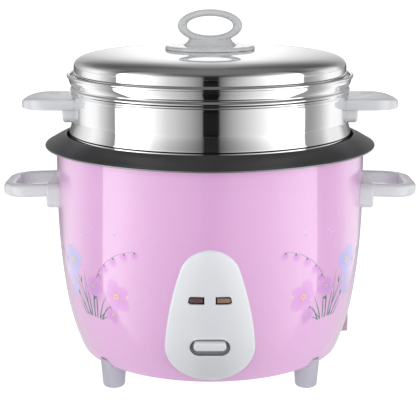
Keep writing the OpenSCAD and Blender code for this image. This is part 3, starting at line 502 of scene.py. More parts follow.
class Finish:
    """A material with one Principled shader, read on Object coordinates."""

    def __init__(self, name, colour, roughness, **sockets):
        self.material = bpy.data.materials.new(name)
        self.material.use_nodes = True
        self.tree = self.material.node_tree
        self.shader = self.tree.nodes["Principled BSDF"]
        self.set(Base_Color=colour, Roughness=roughness, **sockets)
        self.coords = add_node(self.tree, "TexCoord").outputs["Object"]

    def set(self, **sockets):
        """Feeds the shader's sockets, with underscores for the spaces in their names."""
        for label, value in sockets.items():
            feed(self.tree, self.shader.inputs[label.replace("_", " ")], value)

    def place(self, shader_group, **values):
        """Adds a node group. Returns its outputs."""
        node = add_node(self.tree, "Group")
        node.node_tree = shader_group
        for label, value in dict(values, Vector=self.coords).items():
            feed(self.tree, node.inputs[label], value)
        return node.outputs

    def drift(self, scale, roughness, spread, light=None, dark=None):
        """Varying roughness and, with two colours, a tint that varies with it."""
        out = self.place(surface_drift, Scale=scale, Roughness=roughness, Spread=spread)
        self.set(Roughness=out["Roughness"])
        if light:
            ramp = add_node(self.tree, "ValToRGB", Fac=out["Drift"])
            for element, place, colour in zip(ramp.color_ramp.elements, (0.35, 0.65), (dark, light)):
                element.position, element.color = place, colour
            self.set(Base_Color=ramp.outputs[0])
        return self

    def relief(self, height, strength, distance):
        self.set(Normal=add_node(self.tree, "Bump", Height=height, Strength=strength,
                                 Distance=distance).outputs[0])
        return self

    def grain(self, scale, strength, distance=0.0001, detail=2.0):
        return self.relief(noise(self.tree, self.coords, scale, detail), strength, distance)


def pink_enamel():
    f = Finish("pink_enamel", linear(231, 178, 226), 0.16, Coat_Weight=1.0, Coat_Roughness=0.03, Coat_IOR=1.7)
    f.drift(9, 0.2, 0.05, linear(232, 180, 227), linear(229, 176, 224))
    return f.grain(420, 0.03).material


def printed_transfer():
    f = Finish("printed_transfer", linear(200, 180, 220), 0.2, Coat_Weight=1.0, Coat_Roughness=0.04)
    art = add_node(f.tree, "Attribute")
    art.attribute_name = "art"
    f.set(Base_Color=art.outputs["Color"])
    return f.drift(9, 0.2, 0.05).material


def moulded(name, colour, roughness, coat=0.25, coat_ior=1.5):
    """Glossy moulded plastic with a faint unevenness."""
    f = Finish(name, colour, roughness, Coat_Weight=coat, Coat_Roughness=0.12, Coat_IOR=coat_ior)
    f.drift(14, roughness, 0.08, colour, darker(colour, 0.975))
    return f.grain(700, 0.05).material


def clear_grey_plastic():
    f = Finish("clear_grey_plastic", linear(214, 215, 217), 0.3, Transmission_Weight=0.15,
               Coat_Weight=1.0, Coat_Roughness=0.05)
    f.drift(20, 0.28, 0.06, linear(216, 217, 219), linear(209, 210, 212))
    return f.grain(600, 0.015).material


def dark_glass(name, colour):
    f = Finish(name, colour, 0.12, Coat_Weight=1.0, Coat_Roughness=0.03, Transmission_Weight=0.15)
    return f.drift(60, 0.12, 0.05, colour, darker(colour, 0.8)).material


def polished_steel(name, roughness):
    f = Finish(name, (0.9, 0.9, 0.91, 1), roughness, Metallic=1.0)
    out = f.place(polish_lines, Pitch=900.0, Roughness=roughness, Spread=0.04)
    f.set(Roughness=out["Roughness"])
    return f.relief(out["Height"], 0.035, 0.00002).material


def rolled_metal(name, colour, roughness):
    """Mill-finish sheet or bar."""
    f = Finish(name, colour, roughness, Metallic=1.0)
    f.drift(30, roughness, 0.14, colour, darker(colour, 0.88))
    return f.grain(900, 0.1, detail=4).material


def cast_metal(name, colour):
    f = Finish(name, colour, 0.5, Metallic=1.0)
    f.drift(60, 0.5, 0.2, colour, darker(colour, 0.8))
    return f.grain(500, 0.35, 0.0003, 5).material


def nonstick_coat():
    f = Finish("nonstick_coat", linear(44, 44, 46), 0.34, Specular_IOR_Level=0.85)
    f.drift(25, 0.34, 0.08, linear(46, 46, 48), linear(40, 40, 42))
    return f.grain(1500, 0.12, detail=3).material


def stone_like(name, colour, roughness=0.6):
    """Moulded phenolic, ceramic or ferrite."""
    f = Finish(name, colour, roughness)
    f.drift(80, roughness, 0.15, colour, darker(colour, 0.8))
    return f.grain(900, 0.2, 0.0002, 4).material


mat_pink = pink_enamel()
mat_transfer = printed_transfer()
mat_white = moulded("white_plastic", linear(212, 213, 217), 0.26, coat=0.7)
mat_panel = moulded("panel_plastic", linear(236, 238, 243), 0.24, coat=1.0, coat_ior=1.85)
# Dark grey painted into the key's recess as the shade inside it
mat_recess_shade = moulded("recess_painted_shade", linear(140, 142, 147), 0.5)
mat_key = moulded("key_plastic", linear(228, 229, 232), 0.22)
mat_foot = moulded("foot_plastic", linear(184, 183, 195), 0.42)
mat_knob = clear_grey_plastic()
mat_brown = dark_glass("brown_lens", linear(118, 86, 92))
mat_amber = dark_glass("amber_lens", linear(176, 144, 128))
# Near-black painted on the side of each lens's step, as the shadow of the gap round it
mat_lens_gap_shade = dark_glass("lens_gap_shade", linear(34, 14, 14))
mat_steamer = polished_steel("steamer_steel", 0.05)
mat_lid = polished_steel("lid_steel", 0.06)
mat_bare = rolled_metal("bare_aluminium", (0.82, 0.83, 0.84, 1), 0.3)
# Darker metal painted on the underside of the pot's rolled lip, as its shade
mat_lip_shade = rolled_metal("lip_painted_shade", (0.4, 0.4, 0.42, 1), 0.4)
mat_coat = nonstick_coat()
mat_liner = rolled_metal("liner_steel", (0.74, 0.75, 0.77, 1), 0.3)
mat_base = rolled_metal("base_steel", (0.66, 0.67, 0.69, 1), 0.38)
mat_screw = rolled_metal("screw_steel", (0.72, 0.72, 0.74, 1), 0.25)
mat_spring = rolled_metal("spring_steel", (0.55, 0.56, 0.6, 1), 0.3)
mat_bronze = rolled_metal("contact_bronze", (0.78, 0.52, 0.26, 1), 0.3)
mat_cast = cast_metal("cast_aluminium", (0.74, 0.75, 0.77, 1))
mat_cap = rolled_metal("cap_aluminium", (0.8, 0.81, 0.82, 1), 0.28)
mat_ceramic = stone_like("ceramic_insulator", linear(228, 222, 208))
mat_ferrite = stone_like("ferrite", linear(58, 58, 62), 0.45)
mat_phenolic = stone_like("phenolic", linear(96, 66, 50), 0.5)
mat_dark = stone_like("phenolic_dark", linear(60, 60, 64), 0.5)
# White plastic coloured pink-grey: painted shade and the pink glow reflected from the shell
mat_inlet_shade = moulded("inlet_plastic", linear(188, 164, 178), 0.4)
mat_holder = moulded("holder_plastic", linear(226, 224, 214), 0.4)
mat_lamp = dark_glass("lamp_glass", linear(222, 160, 110))


# ---- Shell, liner, base ----
INLET_TURN = radians(100)   # from the front, towards the right
INLET_HALF = 16.3         # half width of the opening for the inlet
INLET_ROOM = 0.3
SLOT_ROOM = 1.8           # round the recess of the key
FLANGE_CORNER = 1.6
SLOT_SIDE, INLET_SIDE = 80, 60   # only faces further out than this are cut


def outer_shell():
    bottom_r = shell_at(foot_h)
    profile = [(bottom_r - FLANGE_W, foot_h), (bottom_r - 8, foot_h)]
    profile += arc((bottom_r - FLANGE_CORNER + 0.5, foot_h + FLANGE_CORNER), FLANGE_CORNER, -90, -30, 4)
    profile += [(shell_at(z), z) for z in steps(foot_h + 1.8, rim_z - RIM_ROUND, 64)]
    profile += arc((shell_r - RIM_ROUND, rim_z - RIM_ROUND), RIM_ROUND, 0, 90, 6)[1:]
    profile += [(COLLAR_R, rim_z)]
    bm = bmesh.new()
    turned(bm, profile)
    face_outwards(bm)
    cut_window(bm, SLOT_W / 2 + SLOT_ROOM, SLOT_Z - SLOT_H / 2 - SLOT_ROOM, SLOT_Z + SLOT_H / 2 + SLOT_ROOM,
               front=SLOT_SIDE)
    cut_window(bm, INLET_HALF, inlet_low.z - INLET_ROOM, inlet_high.z + INLET_ROOM, turn=INLET_TURN,
               front=INLET_SIDE)
    bmesh.ops.solidify(bm, geom=bm.faces, thickness=SHELL_T * MM)
    piece("painted_shell", bm, "cooker_body", mat_pink, "pink_enamel", "outer_shell")


outer_shell()
from_cad("inner_liner", "cooker_body", mat_liner, "liner_steel", "liner_sheet")
from_cad("bottom_plate", "cooker_body", mat_base, "base_steel", "bottom_sheet")
for place in ("front_left", "front_right", "back_left", "back_right"):
    from_cad("foot_" + place, "cooker_body", mat_foot, "foot_plastic", "foot_cap_" + place)


# ---- Pot ----
def inner_pot():
    step_r, top_r = 1.5, 0.9   # corners of the step under the flange, and of the mouth
    rows, crown = 12, 0.35     # of the sloping flange
    pot_out = POT_R + POT_T
    mouth_out = MOUTH_R + POT_T
    ledge_z = lip_z - LEDGE_DROP
    edge_c = (flange_r - FLANGE_EDGE, lip_z - FLANGE_FALL - FLANGE_EDGE)
    slope = FLANGE_FALL / (edge_c[0] - MOUTH_R - POT_T)
    under = POT_T * sqrt(1 + slope ** 2)
    outer_c = (pot_out - POT_CORNER, pot_z + POT_CORNER)
    profile = [(r, pot_z) for r in steps(0, outer_c[0] - 1, 6)]
    profile += arc(outer_c, POT_CORNER, -90, 0, 18)
    profile += [(pot_out, z) for z in steps(outer_c[1] + 4, ledge_z - 5, 16)]
    profile += arc((pot_out + step_r, ledge_z - POT_T - step_r), step_r, 180, 90, 4)
    profile += arc((MOUTH_R, ledge_z), POT_T, -90, 0, 4)
    profile += [(mouth_out, lip_z - under - 1), (mouth_out + 0.8, lip_z - under - 0.3)]
    profile += [(edge_c[0] - 0.6, lip_z - FLANGE_FALL - under + 0.2)]
    profile += arc(edge_c, FLANGE_EDGE, 215, 450, 12)
    for i in range(1, rows):
        s = i / rows
        r = edge_c[0] + (mouth_out - edge_c[0]) * s
        profile.append((r, lip_z - FLANGE_FALL * (1 - s) + crown * sin(pi * s)))
    profile += arc((MOUTH_R + top_r, lip_z - top_r), top_r, 75, 180, 6)
    profile += arc((MOUTH_R - 1, ledge_z + 1), 1, 0, -90, 5)
    profile += arc((POT_R + step_r, ledge_z - step_r), step_r, 90, 180, 4)
    profile += [(POT_R, z) for z in steps(ledge_z - 5, outer_c[1] + 4, 16)]
    profile += arc(outer_c, POT_CORNER - POT_T, 0, -90, 18)
    profile += [(r, pot_z + POT_T) for r in steps(outer_c[0] - 1, 0, 6)]
    bm = bmesh.new()
    turned(bm, profile)
    face_outwards(bm)
    for face in bm.faces:
        p = face.calc_center_median() / MM
        r = hypot(p.x, p.y)
        inside = (r < POT_R + 0.1 and p.z > pot_z + 0.8) or (r < mouth_out and p.z > ledge_z - 0.5)
        on_flange = r > MOUTH_R and p.z > edge_c[1] + 0.8 + (edge_c[0] - r) * slope
        lip_in_shade = r > edge_c[0] - 1.5 and p.z < edge_c[1] + 0.9
        # The lower part of the rolled lip takes the darker metal, a painted shade
        face.material_index = 0 if inside or on_flange else 2 if lip_in_shade else 1
    piece("pot_wall", bm, "pot", [mat_coat, mat_bare, mat_lip_shade], "nonstick", "inner_pot")


inner_pot()


# ---- Steamer ----
def steamer_basket():
    foot_round, ledge_round = 2, 1.8
    foot_z = lip_z - LEDGE_DROP + 0.3
    foot_c = (STEAM_FOOT_R - foot_round, foot_z + foot_round)
    turn_c = (BASKET_R + ledge_round, foot_z - ledge_round + STEAM_T)
    heights = steps(lip_z, lip_z + TUCK_H, 8) + steps(lip_z + TUCK_H + 0.6, lip_z + FLARE_H, 14)
    heights += steps(lip_z + FLARE_H + 3, steam_rim_z - 19, 5)
    heights += steps(steam_rim_z - 17.6, steam_rim_z - 1.4, 64)
    profile = [(BASKET_R - 4, basket_z)] + arc((BASKET_R - 1, basket_z + 1), 1, -90, 0, 4)
    profile += arc((turn_c[0], turn_c[1] - STEAM_T), ledge_round, 180, 90, 5)
    profile += arc(foot_c, foot_round, -90, 0, 6)
    profile += [(steam_at(z), z) for z in heights]
    profile += [(steam_at(z) - STEAM_T, z) for z in reversed(heights)]
    profile += arc(foot_c, foot_round - STEAM_T, 0, -90, 6)
    profile += arc(turn_c, ledge_round + STEAM_T, 90, 180, 5)
    profile += [(BASKET_R - STEAM_T, basket_z + STEAM_T), (BASKET_R - 4, basket_z + STEAM_T)]
    bm = bmesh.new()
    turned(bm, profile, closed=True)
    bead_c = (STEAM_WALL + RIM_GROW + 0.1, steam_rim_z - RIM_BEAD)
    turned(bm, arc(bead_c, RIM_BEAD, 0, 345, 23), closed=True)
    face_outwards(bm)
    piece("steamer_wall", bm, "steamer", mat_steamer, "steamer_steel", "steamer_basket")


steamer_basket()
from_cad("steamer_floor", "steamer", mat_steamer, "steamer_steel", "steamer_sieve")
from_cad("steamer_rivets", "steamer", mat_screw, "screw_steel", "steamer_rivet_heads")

EAR_T = 8.5
EAR_LONG = 21             # length and half width of the rounded end
EAR_WIDE = 24
EAR_FALL = 2.4            # how far the top falls to the tip
EAR_FALL_L = 15
EAR_HALF = 30
EAR_FOOT_H = 19
EAR_WALL = 2.4
EAR_ROOT = STEAM_WALL + 10   # where the hollow under the grip starts
EAR_FOOT_T = 5.8
RIB_HALF = 1


def on_drum(radius, y):
    """X of a drum's side wall at y."""
    return sqrt(radius ** 2 - y ** 2)


def ear_plan(shrink, drum=None):
    """Plan of the grip. Its root follows a drum, or is straight where the hollow starts."""
    tip_x, tip_y = ear_tip - EAR_LONG, EAR_HALF - EAR_WIDE
    half = EAR_HALF - shrink
    rounded_end = []
    for angle in list(range(-90, 0, 7)) + [-0.01, 0.01] + list(range(7, 91, 7)) + [90]:
        a = radians(angle)
        rounded_end.append((tip_x + cos(a) * (EAR_LONG - shrink),
                            copysign(tip_y, a) + sin(a) * (EAR_WIDE - shrink)))
    if drum is None:
        return [(EAR_ROOT, -half)] + rounded_end + [(EAR_ROOT, half)]
    return [(on_drum(drum, across), across) for across in steps(half, -half, 24)] + rounded_end


def foot_plate(bm, outline, mid_z, drum, face_x, edge):
    """Block against a drum. Its back follows the drum and its outer edge is rounded."""
    def back(scale):
        return ring(bm, [(on_drum(drum, y * scale), y * scale, mid_z + z * scale) for y, z in outline])

    front = ring(bm, [(face_x, y, mid_z + z) for y, z in outline])
    backs = [back(scale) for scale in (0.2, 0.4, 0.6, 0.8, 1)]
    bridge(bm, backs + [front])
    cap(bm, backs[0], front)
    bevel(bm, front, edge, 4)


def steamer_handle(side):
    """Flat grip with a hollow underside and a rib, on a foot against the wall."""
    bm = bmesh.new()
    drum = STEAM_WALL + SKIN_GAP
    low = ear_top - EAR_T
    outer = [ring(bm, [(x, y, z) for x, y in ear_plan(0, drum)]) for z in (low, ear_top)]
    inner = [ring(bm, [(x, y, z) for x, y in ear_plan(EAR_WALL)]) for z in (low, ear_top - 2.5)]
    for loops in (outer, inner):
        bridge(bm, loops)
        cap(bm, loops[1])
    bmesh.ops.triangle_fill(bm, edges=outer[0] + inner[0], use_beauty=True)
    face_outwards(bm)

    def edges_at(z):
        return [e for e in bm.edges if len(e.link_faces) == 2 and e.calc_face_angle(0) > 1
                and all(abs(v.co.z - z * MM) < 1e-6 for v in e.verts)
                and max(abs(v.co.x - on_drum(drum, v.co.y / MM) * MM) for v in e.verts) > 1e-5]

    bevel(bm, edges_at(ear_top), 1.8, 4)
    bevel(bm, edges_at(low), 0.9, 3)
    rib = [(EAR_ROOT - 1, -RIB_HALF), (ear_tip - 1.6, -RIB_HALF), (ear_tip - 1.6, RIB_HALF),
           (EAR_ROOT - 1, RIB_HALF)]
    prism(bm, rib, lambda x, y, z: (x, y, low + 0.6 + z), EAR_T - 3)
    for x in steps(ear_tip - EAR_FALL_L, ear_tip - 2, 8):
        slice_faces(bm, list(bm.faces), (x * MM, 0, 0), (1, 0, 0))
    for v in bm.verts:
        along = max(0, (v.co.x / MM - ear_tip + EAR_FALL_L) / EAR_FALL_L)
        v.co.z -= EAR_FALL * along ** 2 * (v.co.z - low * MM) / EAR_T
    foot_plate(bm, rounded(2 * EAR_HALF - 6, EAR_FOOT_H - 1.2, 6), ear_top - EAR_FOOT_H / 2 - 0.6, drum,
               STEAM_WALL + EAR_FOOT_T, 2.2)
    name = face_side(bm, side)
    piece("steamer_grip_" + name, bm, "steamer", mat_white, "white_plastic", "steamer_handle_" + name)


for side in (-1, 1):
    steamer_handle(side)


# ---- Lid and knob ----
def dome(r, radius, rise):
    """Height over the skirt: flat in the middle, with a round shoulder."""
    return rise * (1 - min(r / radius, 1) ** 4) ** 0.296


def lid():
    skirt_z = crown_z - LID_RISE
    turns = [sin(pi / 2 * i / 60) for i in range(61)]
    lip_r = steam_at(lid_seat_z) - STEAM_T - LID_GAP
    inner_r = LID_R - LID_T
    profile = [(s * LID_R, skirt_z + dome(s * LID_R, LID_R, LID_RISE)) for s in turns]
    profile += [(LID_R, z) for z in steps(skirt_z - 1, lid_seat_z + 2.6, 6)]
    profile += [(LID_R + 0.4, lid_seat_z + 1.9), (lip_r - 0.2, lid_seat_z + 1.05), (lip_r, lid_seat_z + 0.7),
                (lip_r, lid_seat_z + 0.2), (inner_r, lid_seat_z + 1.4)]
    profile += [(inner_r, z) for z in steps(lid_seat_z + 2.4, skirt_z - 1, 6)]
    profile += [(s * inner_r, skirt_z + dome(s * inner_r, inner_r, LID_RISE - LID_T))
                for s in reversed(turns)]
    bm = bmesh.new()
    turned(bm, profile)
    face_outwards(bm)
    piece("lid_sheet", bm, "lid", mat_lid, "lid_steel", "lid")


lid()

RING_W = 51.4
RING_SIDE = 7.2
RING_TOP = 5.3
RING_D = 13
KNOB_FOOT_W = 43
KNOB_FOOT_H = 2.5         # under the ring
WAIST_W = 33.4
HOLE_R = 2.2              # for the screw
DISC_ROUND = 2.2
RING_SOFT = 0.75          # 1 for a round section, less for a squarer one
DISC_EDGE = 0.4
RING_STEPS, RING_ROUND_STEPS, FOOT_STEPS, FOOT_ROUND_STEPS = 72, 20, 12, 48


def soft(value, power):
    return copysign(abs(value) ** power, value)


def knob():
    """Disc, ring and the waisted foot that joins them."""
    bm = bmesh.new()
    low = crown_z
    profile = [(HOLE_R, low), (disc_r - 4, low)]
    profile += arc((disc_r - DISC_EDGE - 0.2, low + DISC_EDGE), DISC_EDGE, -90, 0, 4)
    profile += arc((disc_r - DISC_ROUND - 0.2, disc_z - DISC_ROUND), DISC_ROUND, 0, 90, 10)
    turned(bm, profile + [(disc_r - 6, disc_z), (HOLE_R, disc_z)], closed=True, count=144)
    face_outwards(bm)
    piece("knob_plate", bm, "lid", mat_knob, "knob_plastic", "knob_disc")

    bm = bmesh.new()
    half_w, half_h = RING_W / 2, (ring_top_z - disc_z - KNOB_FOOT_H) / 2
    mid_z = disc_z + KNOB_FOOT_H + half_h
    rings = []
    for t in angles(RING_STEPS):
        out = Vector((half_w * cos(t), 0, mid_z + half_h * sin(t)))
        inn = Vector(((half_w - RING_SIDE) * cos(t), 0, mid_z + (half_h - RING_TOP) * sin(t)))
        centre, half = (out + inn) / 2, (out - inn) / 2
        rings.append([centre + half * soft(cos(b), RING_SOFT)
                      + Vector((0, soft(sin(b), RING_SOFT) * RING_D / 2, 0))
                      for b in angles(RING_ROUND_STEPS)])
    loft(bm, rings, cyclic=True)
    stages = []
    for s in steps(0, 1, FOOT_STEPS):
        half_w = (WAIST_W + (KNOB_FOOT_W - WAIST_W) * (1 - s) ** 2) / 2
        half_d = (RING_D + 9 * (1 - s) ** 2) / 2
        z = disc_z + s * (KNOB_FOOT_H + RING_TOP - 1.2)
        stages.append([(half_w * cos(t), half_d * sin(t), z) for t in angles(FOOT_ROUND_STEPS)])
    loft(bm, stages)
    face_outwards(bm)
    piece("knob_loop", bm, "lid", mat_knob, "knob_plastic", "knob_ring")


knob()


# ---- Body handles ----
HANDLE_HALF = 28
ARM_W = 10.4
ARM_H = 10.2
ARM_STEPS = 32
ARM_SOFT = 0.6            # 1 for a round section, less for a squarer one
HANDLE_BEND = 16
HANDLE_DROOP = 1.2
HANDLE_FOOT_T = 5.6
HANDLE_FOOT_H = 20
HANDLE_FOOT_RISE = 6      # of the foot's top over the arms
HANDLE_FOOT_MORE = 9      # of the foot past each arm


def body_handle(side):
    """Loop of two arms on a foot that hugs the shell."""
    tip = handle_tip - ARM_W / 2
    root = shell_r + 2
    path = [(root, -HANDLE_HALF), ((root + tip) / 2, -HANDLE_HALF)]
    path += arc((tip - HANDLE_BEND, HANDLE_BEND - HANDLE_HALF), HANDLE_BEND, -90, 0, 12) + [(tip, 0)]
    path += arc((tip - HANDLE_BEND, HANDLE_HALF - HANDLE_BEND), HANDLE_BEND, 0, 90, 12)
    path += [((root + tip) / 2, HANDLE_HALF), (root, HANDLE_HALF)]
    bm = bmesh.new()
    rings = []
    for i, (x, y) in enumerate(path):
        before, after = path[max(i - 1, 0)], path[min(i + 1, len(path) - 1)]
        along = Vector((after[0] - before[0], after[1] - before[1], 0)).normalized()
        if i in (0, len(path) - 1):
            along = Vector((1 if i == 0 else -1, 0, 0))
        across = Vector((-along.y, along.x, 0))
        z = handle_z - HANDLE_DROOP * (x - root) / (tip - root)
        rings.append([Vector((x, y, z)) + across * soft(cos(a), ARM_SOFT) * ARM_W / 2
                      + Vector((0, 0, soft(sin(a), ARM_SOFT) * ARM_H / 2)) for a in angles(ARM_STEPS)])
    loft(bm, rings)
    foot_mid = handle_z + HANDLE_FOOT_RISE - HANDLE_FOOT_H / 2
    foot_plate(bm, rounded(2 * (HANDLE_HALF + HANDLE_FOOT_MORE), HANDLE_FOOT_H, 7), foot_mid,
               shell_r + SKIN_GAP, shell_r + HANDLE_FOOT_T, 1.8)
    name = face_side(bm, side)
    piece("side_handle_" + name, bm, "cooker_body", mat_white, "white_plastic", "body_handle_" + name)


for side in (-1, 1):
    body_handle(side)


# ---- Control panel ----
def lens_outline(side, grow=0.0):
    points = [(-grow, -LENS_H / 2 - grow)] + arc((LENS_W - LENS_H / 2, 0), LENS_H / 2 + grow, -90, 90, 12)
    points += [(-grow, LENS_H / 2 + grow)]
    return [(side * (LENS_IN + x), LENS_Z + z) for x, z in points]


def slot_outline(grow=0.0):
    return [(x, SLOT_Z + z) for x, z in rounded(SLOT_W + 2 * grow, SLOT_H + 2 * grow, SLOT_H / 2 + grow, 14)]


def round_height(inset, radius, top):
    """Height of a rounded edge at a distance in from its outline."""
    return top - radius + sqrt(max(radius ** 2 - (radius - min(inset, radius)) ** 2, 0))


def wrap_to_shell(bm, floor=None):
    """Turns flat (x, -height, z) vertices into places over the shell. Those at floor depth stay flat."""
    for v in bm.verts:
        x, height, z = v.co.x / MM, -v.co.y / MM, v.co.z / MM
        if floor is not None and height < floor + 0.5:
            v.co.y = -(POCKET_FLOOR + height - floor) * MM
        else:
            v.co.y = -sqrt((shell_at(z) + height) ** 2 - x ** 2) * MM


GRID_HALF = 36
GRID_X, GRID_Z = 2, 3     # pitch of the grid


def slice_flat(bm, low, high):
    """Cuts the flat front of the panel by a grid so that it can bend."""
    planes = [((x, 0, 0), (1, 0, 0)) for x in steps(-GRID_HALF, GRID_HALF, round(2 * GRID_HALF / GRID_X))]
    planes += [((0, 0, z), (0, 0, 1)) for z in steps(low, high, round((high - low) / GRID_Z))]
    for point, normal in planes:
        faces = [f for f in bm.faces if abs(f.normal.y) > 0.999 and f.calc_center_median().y < -2.9 * MM]
        slice_faces(bm, faces, Vector(point) * MM, normal)


PANEL_INSETS = (0, 0.1, 0.35, 0.7, 1.15, PANEL_ROUND, 3, 5, 7, 9, 10.5, PILLOW_W)
PILLOW_LOW = 45           # height over which the fall grows from the panel's low end
LENS_RIM = ((0.5, PANEL_T), (0.25, PANEL_T - 0.1), (0.1, PANEL_T - 0.4), (0.1, 0.1))   # growth, height
LENS_STEPS = ((0, 0.6), (0, 1.9), (-0.15, 2.1), (-1.1, 2.15), (-1.25, 2.35), (-1.45, 2.55), (-1.8, 2.62))
GAP_SHADE_H = 2.3             # the lens is painted near-black up to here, as the shadow of the gap round it
RECESS_SHADE_IN = 1.3           # the recess is painted darker, as its shade, from this far behind the face
DEEP = -100               # stands for the floor of the recess until the panel is bent


def control_panel():
    bm = bmesh.new()

    def loop(outline, height):
        return ring(bm, [(x, -height, z) for x, z in outline])

    edge = [loop(egg(), 0.1)]
    for inset in PANEL_INSETS:
        level = round_height(inset, PANEL_ROUND, PANEL_T)
        fall = PILLOW_FALL * max(0, 1 - inset / PILLOW_W) ** 2
        edge.append(ring(bm, [(x, fall * min(1, (z - panel_low.z) / PILLOW_LOW) - level, z)
                              for x, z in egg(-inset)]))
    bridge(bm, edge)
    rims = [loop(slot_outline(grow), round_height(grow, SLOT_ROUND, PANEL_T))
            for grow in (SLOT_ROUND, 0.6, 0.3, 0.1, 0)] + [loop(slot_outline(), DEEP)]
    cup = [loop(slot_outline(1), 0.1), loop(slot_outline(1), DEEP - 1)]
    for loops in (rims, cup):
        bridge(bm, loops)
        cap(bm, loops[-1])
    front, back = edge[-1] + rims[0], edge[0] + cup[0]
    for side in (-1, 1):
        cut = [loop(lens_outline(side, grow), height) for grow, height in LENS_RIM]
        bridge(bm, cut)
        front += cut[0]
        back += cut[-1]
    for edges in (front, back):
        bmesh.ops.triangle_fill(bm, edges=edges, use_beauty=True)
    bm.normal_update()
    slice_flat(bm, panel_low.z, panel_high.z)
    wrap_to_shell(bm, DEEP)
    face_outwards(bm)
    for face in bm.faces:
        p = face.calc_center_median() / MM
        in_slot = abs(p.x) < SLOT_W / 2 + 0.05 and abs(p.z - SLOT_Z) < SLOT_H / 2 + 0.05
        # Faces deep in the slot take the dark recess grey, a painted shade
        face.material_index = 1 if in_slot and -p.y < shell_at(p.z) + PANEL_T - RECESS_SHADE_IN else 0
    piece("front_panel", bm, "cooker_body", [mat_panel, mat_recess_shade], "panel_plastic", "control_panel")


control_panel()


def lens(side, name, node, finish, slot):
    """Window of one lamp, with a step round a raised middle, painted near-black as the shadow of the gap
    round the lens.
    """
    bm = bmesh.new()
    loft(bm, [[(x, -height, z) for x, z in lens_outline(side, grow)] for grow, height in LENS_STEPS])
    face_outwards(bm)
    for face in bm.faces:
        face.material_index = 1 if max(-v.co.y / MM for v in face.verts) < GAP_SHADE_H else 0
    wrap_to_shell(bm)
    piece(name, bm, "cooker_body", [finish, mat_lens_gap_shade], slot, node)


lens(-1, "warm_window", "warm_lens", mat_brown, "brown_lens")
lens(1, "cook_window", "cook_lens", mat_amber, "amber_lens")


def switch_key():
    """Rounded bar that stands out of the recess."""
    bm = bmesh.new()
    width, height = key_high.x - key_low.x, key_high.z - key_low.z - KEY_UNDER
    mid_z = key_high.z - height / 2
    loops = prism(bm, rounded(width, height, height / 2 - 0.2, 12),
                  lambda x, z, y: (x, key_high.y - y, mid_z + z), key_high.y - key_low.y)
    bevel(bm, [e for e in loops[1] if e.is_valid], KEY_ROUND, 5)
    face_outwards(bm)
    piece("cook_key", bm, "switch", mat_key, "key_plastic", "switch_key")


switch_key()


# ---- Printed flowers on the shell ----
LILAC, ROSE, MAUVE = linear(168, 172, 238), linear(218, 142, 218), linear(160, 140, 180)
TEAL, MOSS = linear(84, 124, 126), linear(128, 156, 150)
YELLOW, PALE = linear(244, 196, 104), linear(238, 200, 236)
PRINT_TURN = 50           # degrees from the front to the middle of the print
PRINT_LIFT = 0.04         # how far the film stands off the enamel
LAYER_LIFT = 0.0004       # of each shape over the one before


def mix(a, b, share):
    return [a[i] + (b[i] - a[i]) * share for i in range(4)]


class Print:
    """Flat artwork in arc length and height, laid on the shell when it is finished."""

    def __init__(self):
        self.bm = bmesh.new()
        self.art = self.bm.verts.layers.float_color.new("art")
        self.layer = 0

    def leaf(self, start, aim, length, width, near, far, bend=0.0, blunt=0.7, rows=9):
        """Petal, leaf, blade or stem: a strip that swells, tapers and bends, shaded from near to far.

        Gives back the points of its spine.
        """
        made = bmesh.ops.create_grid(self.bm, x_segments=rows, y_segments=4, size=0.5)["verts"]
        path, place = [], Vector(start)
        for i in range(rows + 1):
            turn = radians(aim + bend * i / rows)
            path.append((place.copy(), turn))
            place += Vector((cos(turn), sin(turn))) * length / rows
        self.layer += 1
        for v in made:
            along, across = v.co.x + 0.5, v.co.y * 2
            spot, turn = path[round(along * rows)]
            swell = max(sin(pi * min(along, 0.999) ** blunt), 0) ** 0.7
            half = width / 2 * (swell if width > 0.9 else 0.35 + 0.65 * (1 - along))
            v[self.art] = mix(near, far, min(1, along ** 0.8 + 0.25 * abs(across) * along))
            side = Vector((-sin(turn), cos(turn))) * across * half
            v.co = Vector((spot.x + side.x, self.layer, spot.y + side.y))
        return [spot for spot, _ in path]

    def dot(self, centre, radius, colour):
        """Small filled disc."""
        made = bmesh.ops.create_circle(self.bm, cap_ends=True, segments=10, radius=radius)["verts"]
        self.layer += 1
        for v in made:
            v[self.art] = colour
            v.co = Vector((v.co.x + centre[0], self.layer, v.co.y + centre[1]))

    def blossom(self, centre, size, near, far, petals=5, turn=0.0):
        """Open flower of uneven rounded petals round a heart of small dots."""
        for i in range(petals):
            aim = turn + 360 * i / petals + 6 * sin(2.4 * i)
            long = size * (0.88 + 0.14 * cos(2.1 * i + turn))
            self.leaf(centre, aim, long, long * 0.84, near, far, bend=14 * sin(1.7 * i), blunt=1.3)
            for fan in (-13, 9):
                self.leaf(centre, aim + fan, long * 0.6, long * 0.09, mix(near, MAUVE, 0.35),
                          mix(near, far, 0.6), bend=fan)
        for i in range(5):
            a = radians(turn + 36 + 72 * i)
            self.dot((centre[0] + 0.12 * size * cos(a), centre[1] + 0.12 * size * sin(a)),
                     0.065 * size, YELLOW)

    def bell(self, top, size, near, far, aim=-90):
        """Nodding bud of three overlapping petals with a small cap."""
        for spread in (-30, 30, 0):
            self.leaf(top, aim + spread, size, size * 0.5, near, far, bend=-spread * 0.9, blunt=1.15)
        self.leaf(top, aim, size * 0.3, size * 0.26, MOSS, TEAL, blunt=0.8)

    def lay_on_shell(self, mirror):
        """Wraps the artwork round the drum, mirrored for the other side."""
        for v in self.bm.verts:
            s, layer, z = v.co
            turn = radians(PRINT_TURN) - s / shell_r
            r = shell_at(z) + PRINT_LIFT + layer * LAYER_LIFT
            v.co = Vector((-mirror * r * sin(turn), -r * cos(turn), z)) * MM
        bmesh.ops.recalc_face_normals(self.bm, faces=self.bm.faces)
        for face in self.bm.faces:
            if face.normal.dot(face.calc_center_median() * Vector((1, 1, 0))) < 0:
                face.normal_flip()


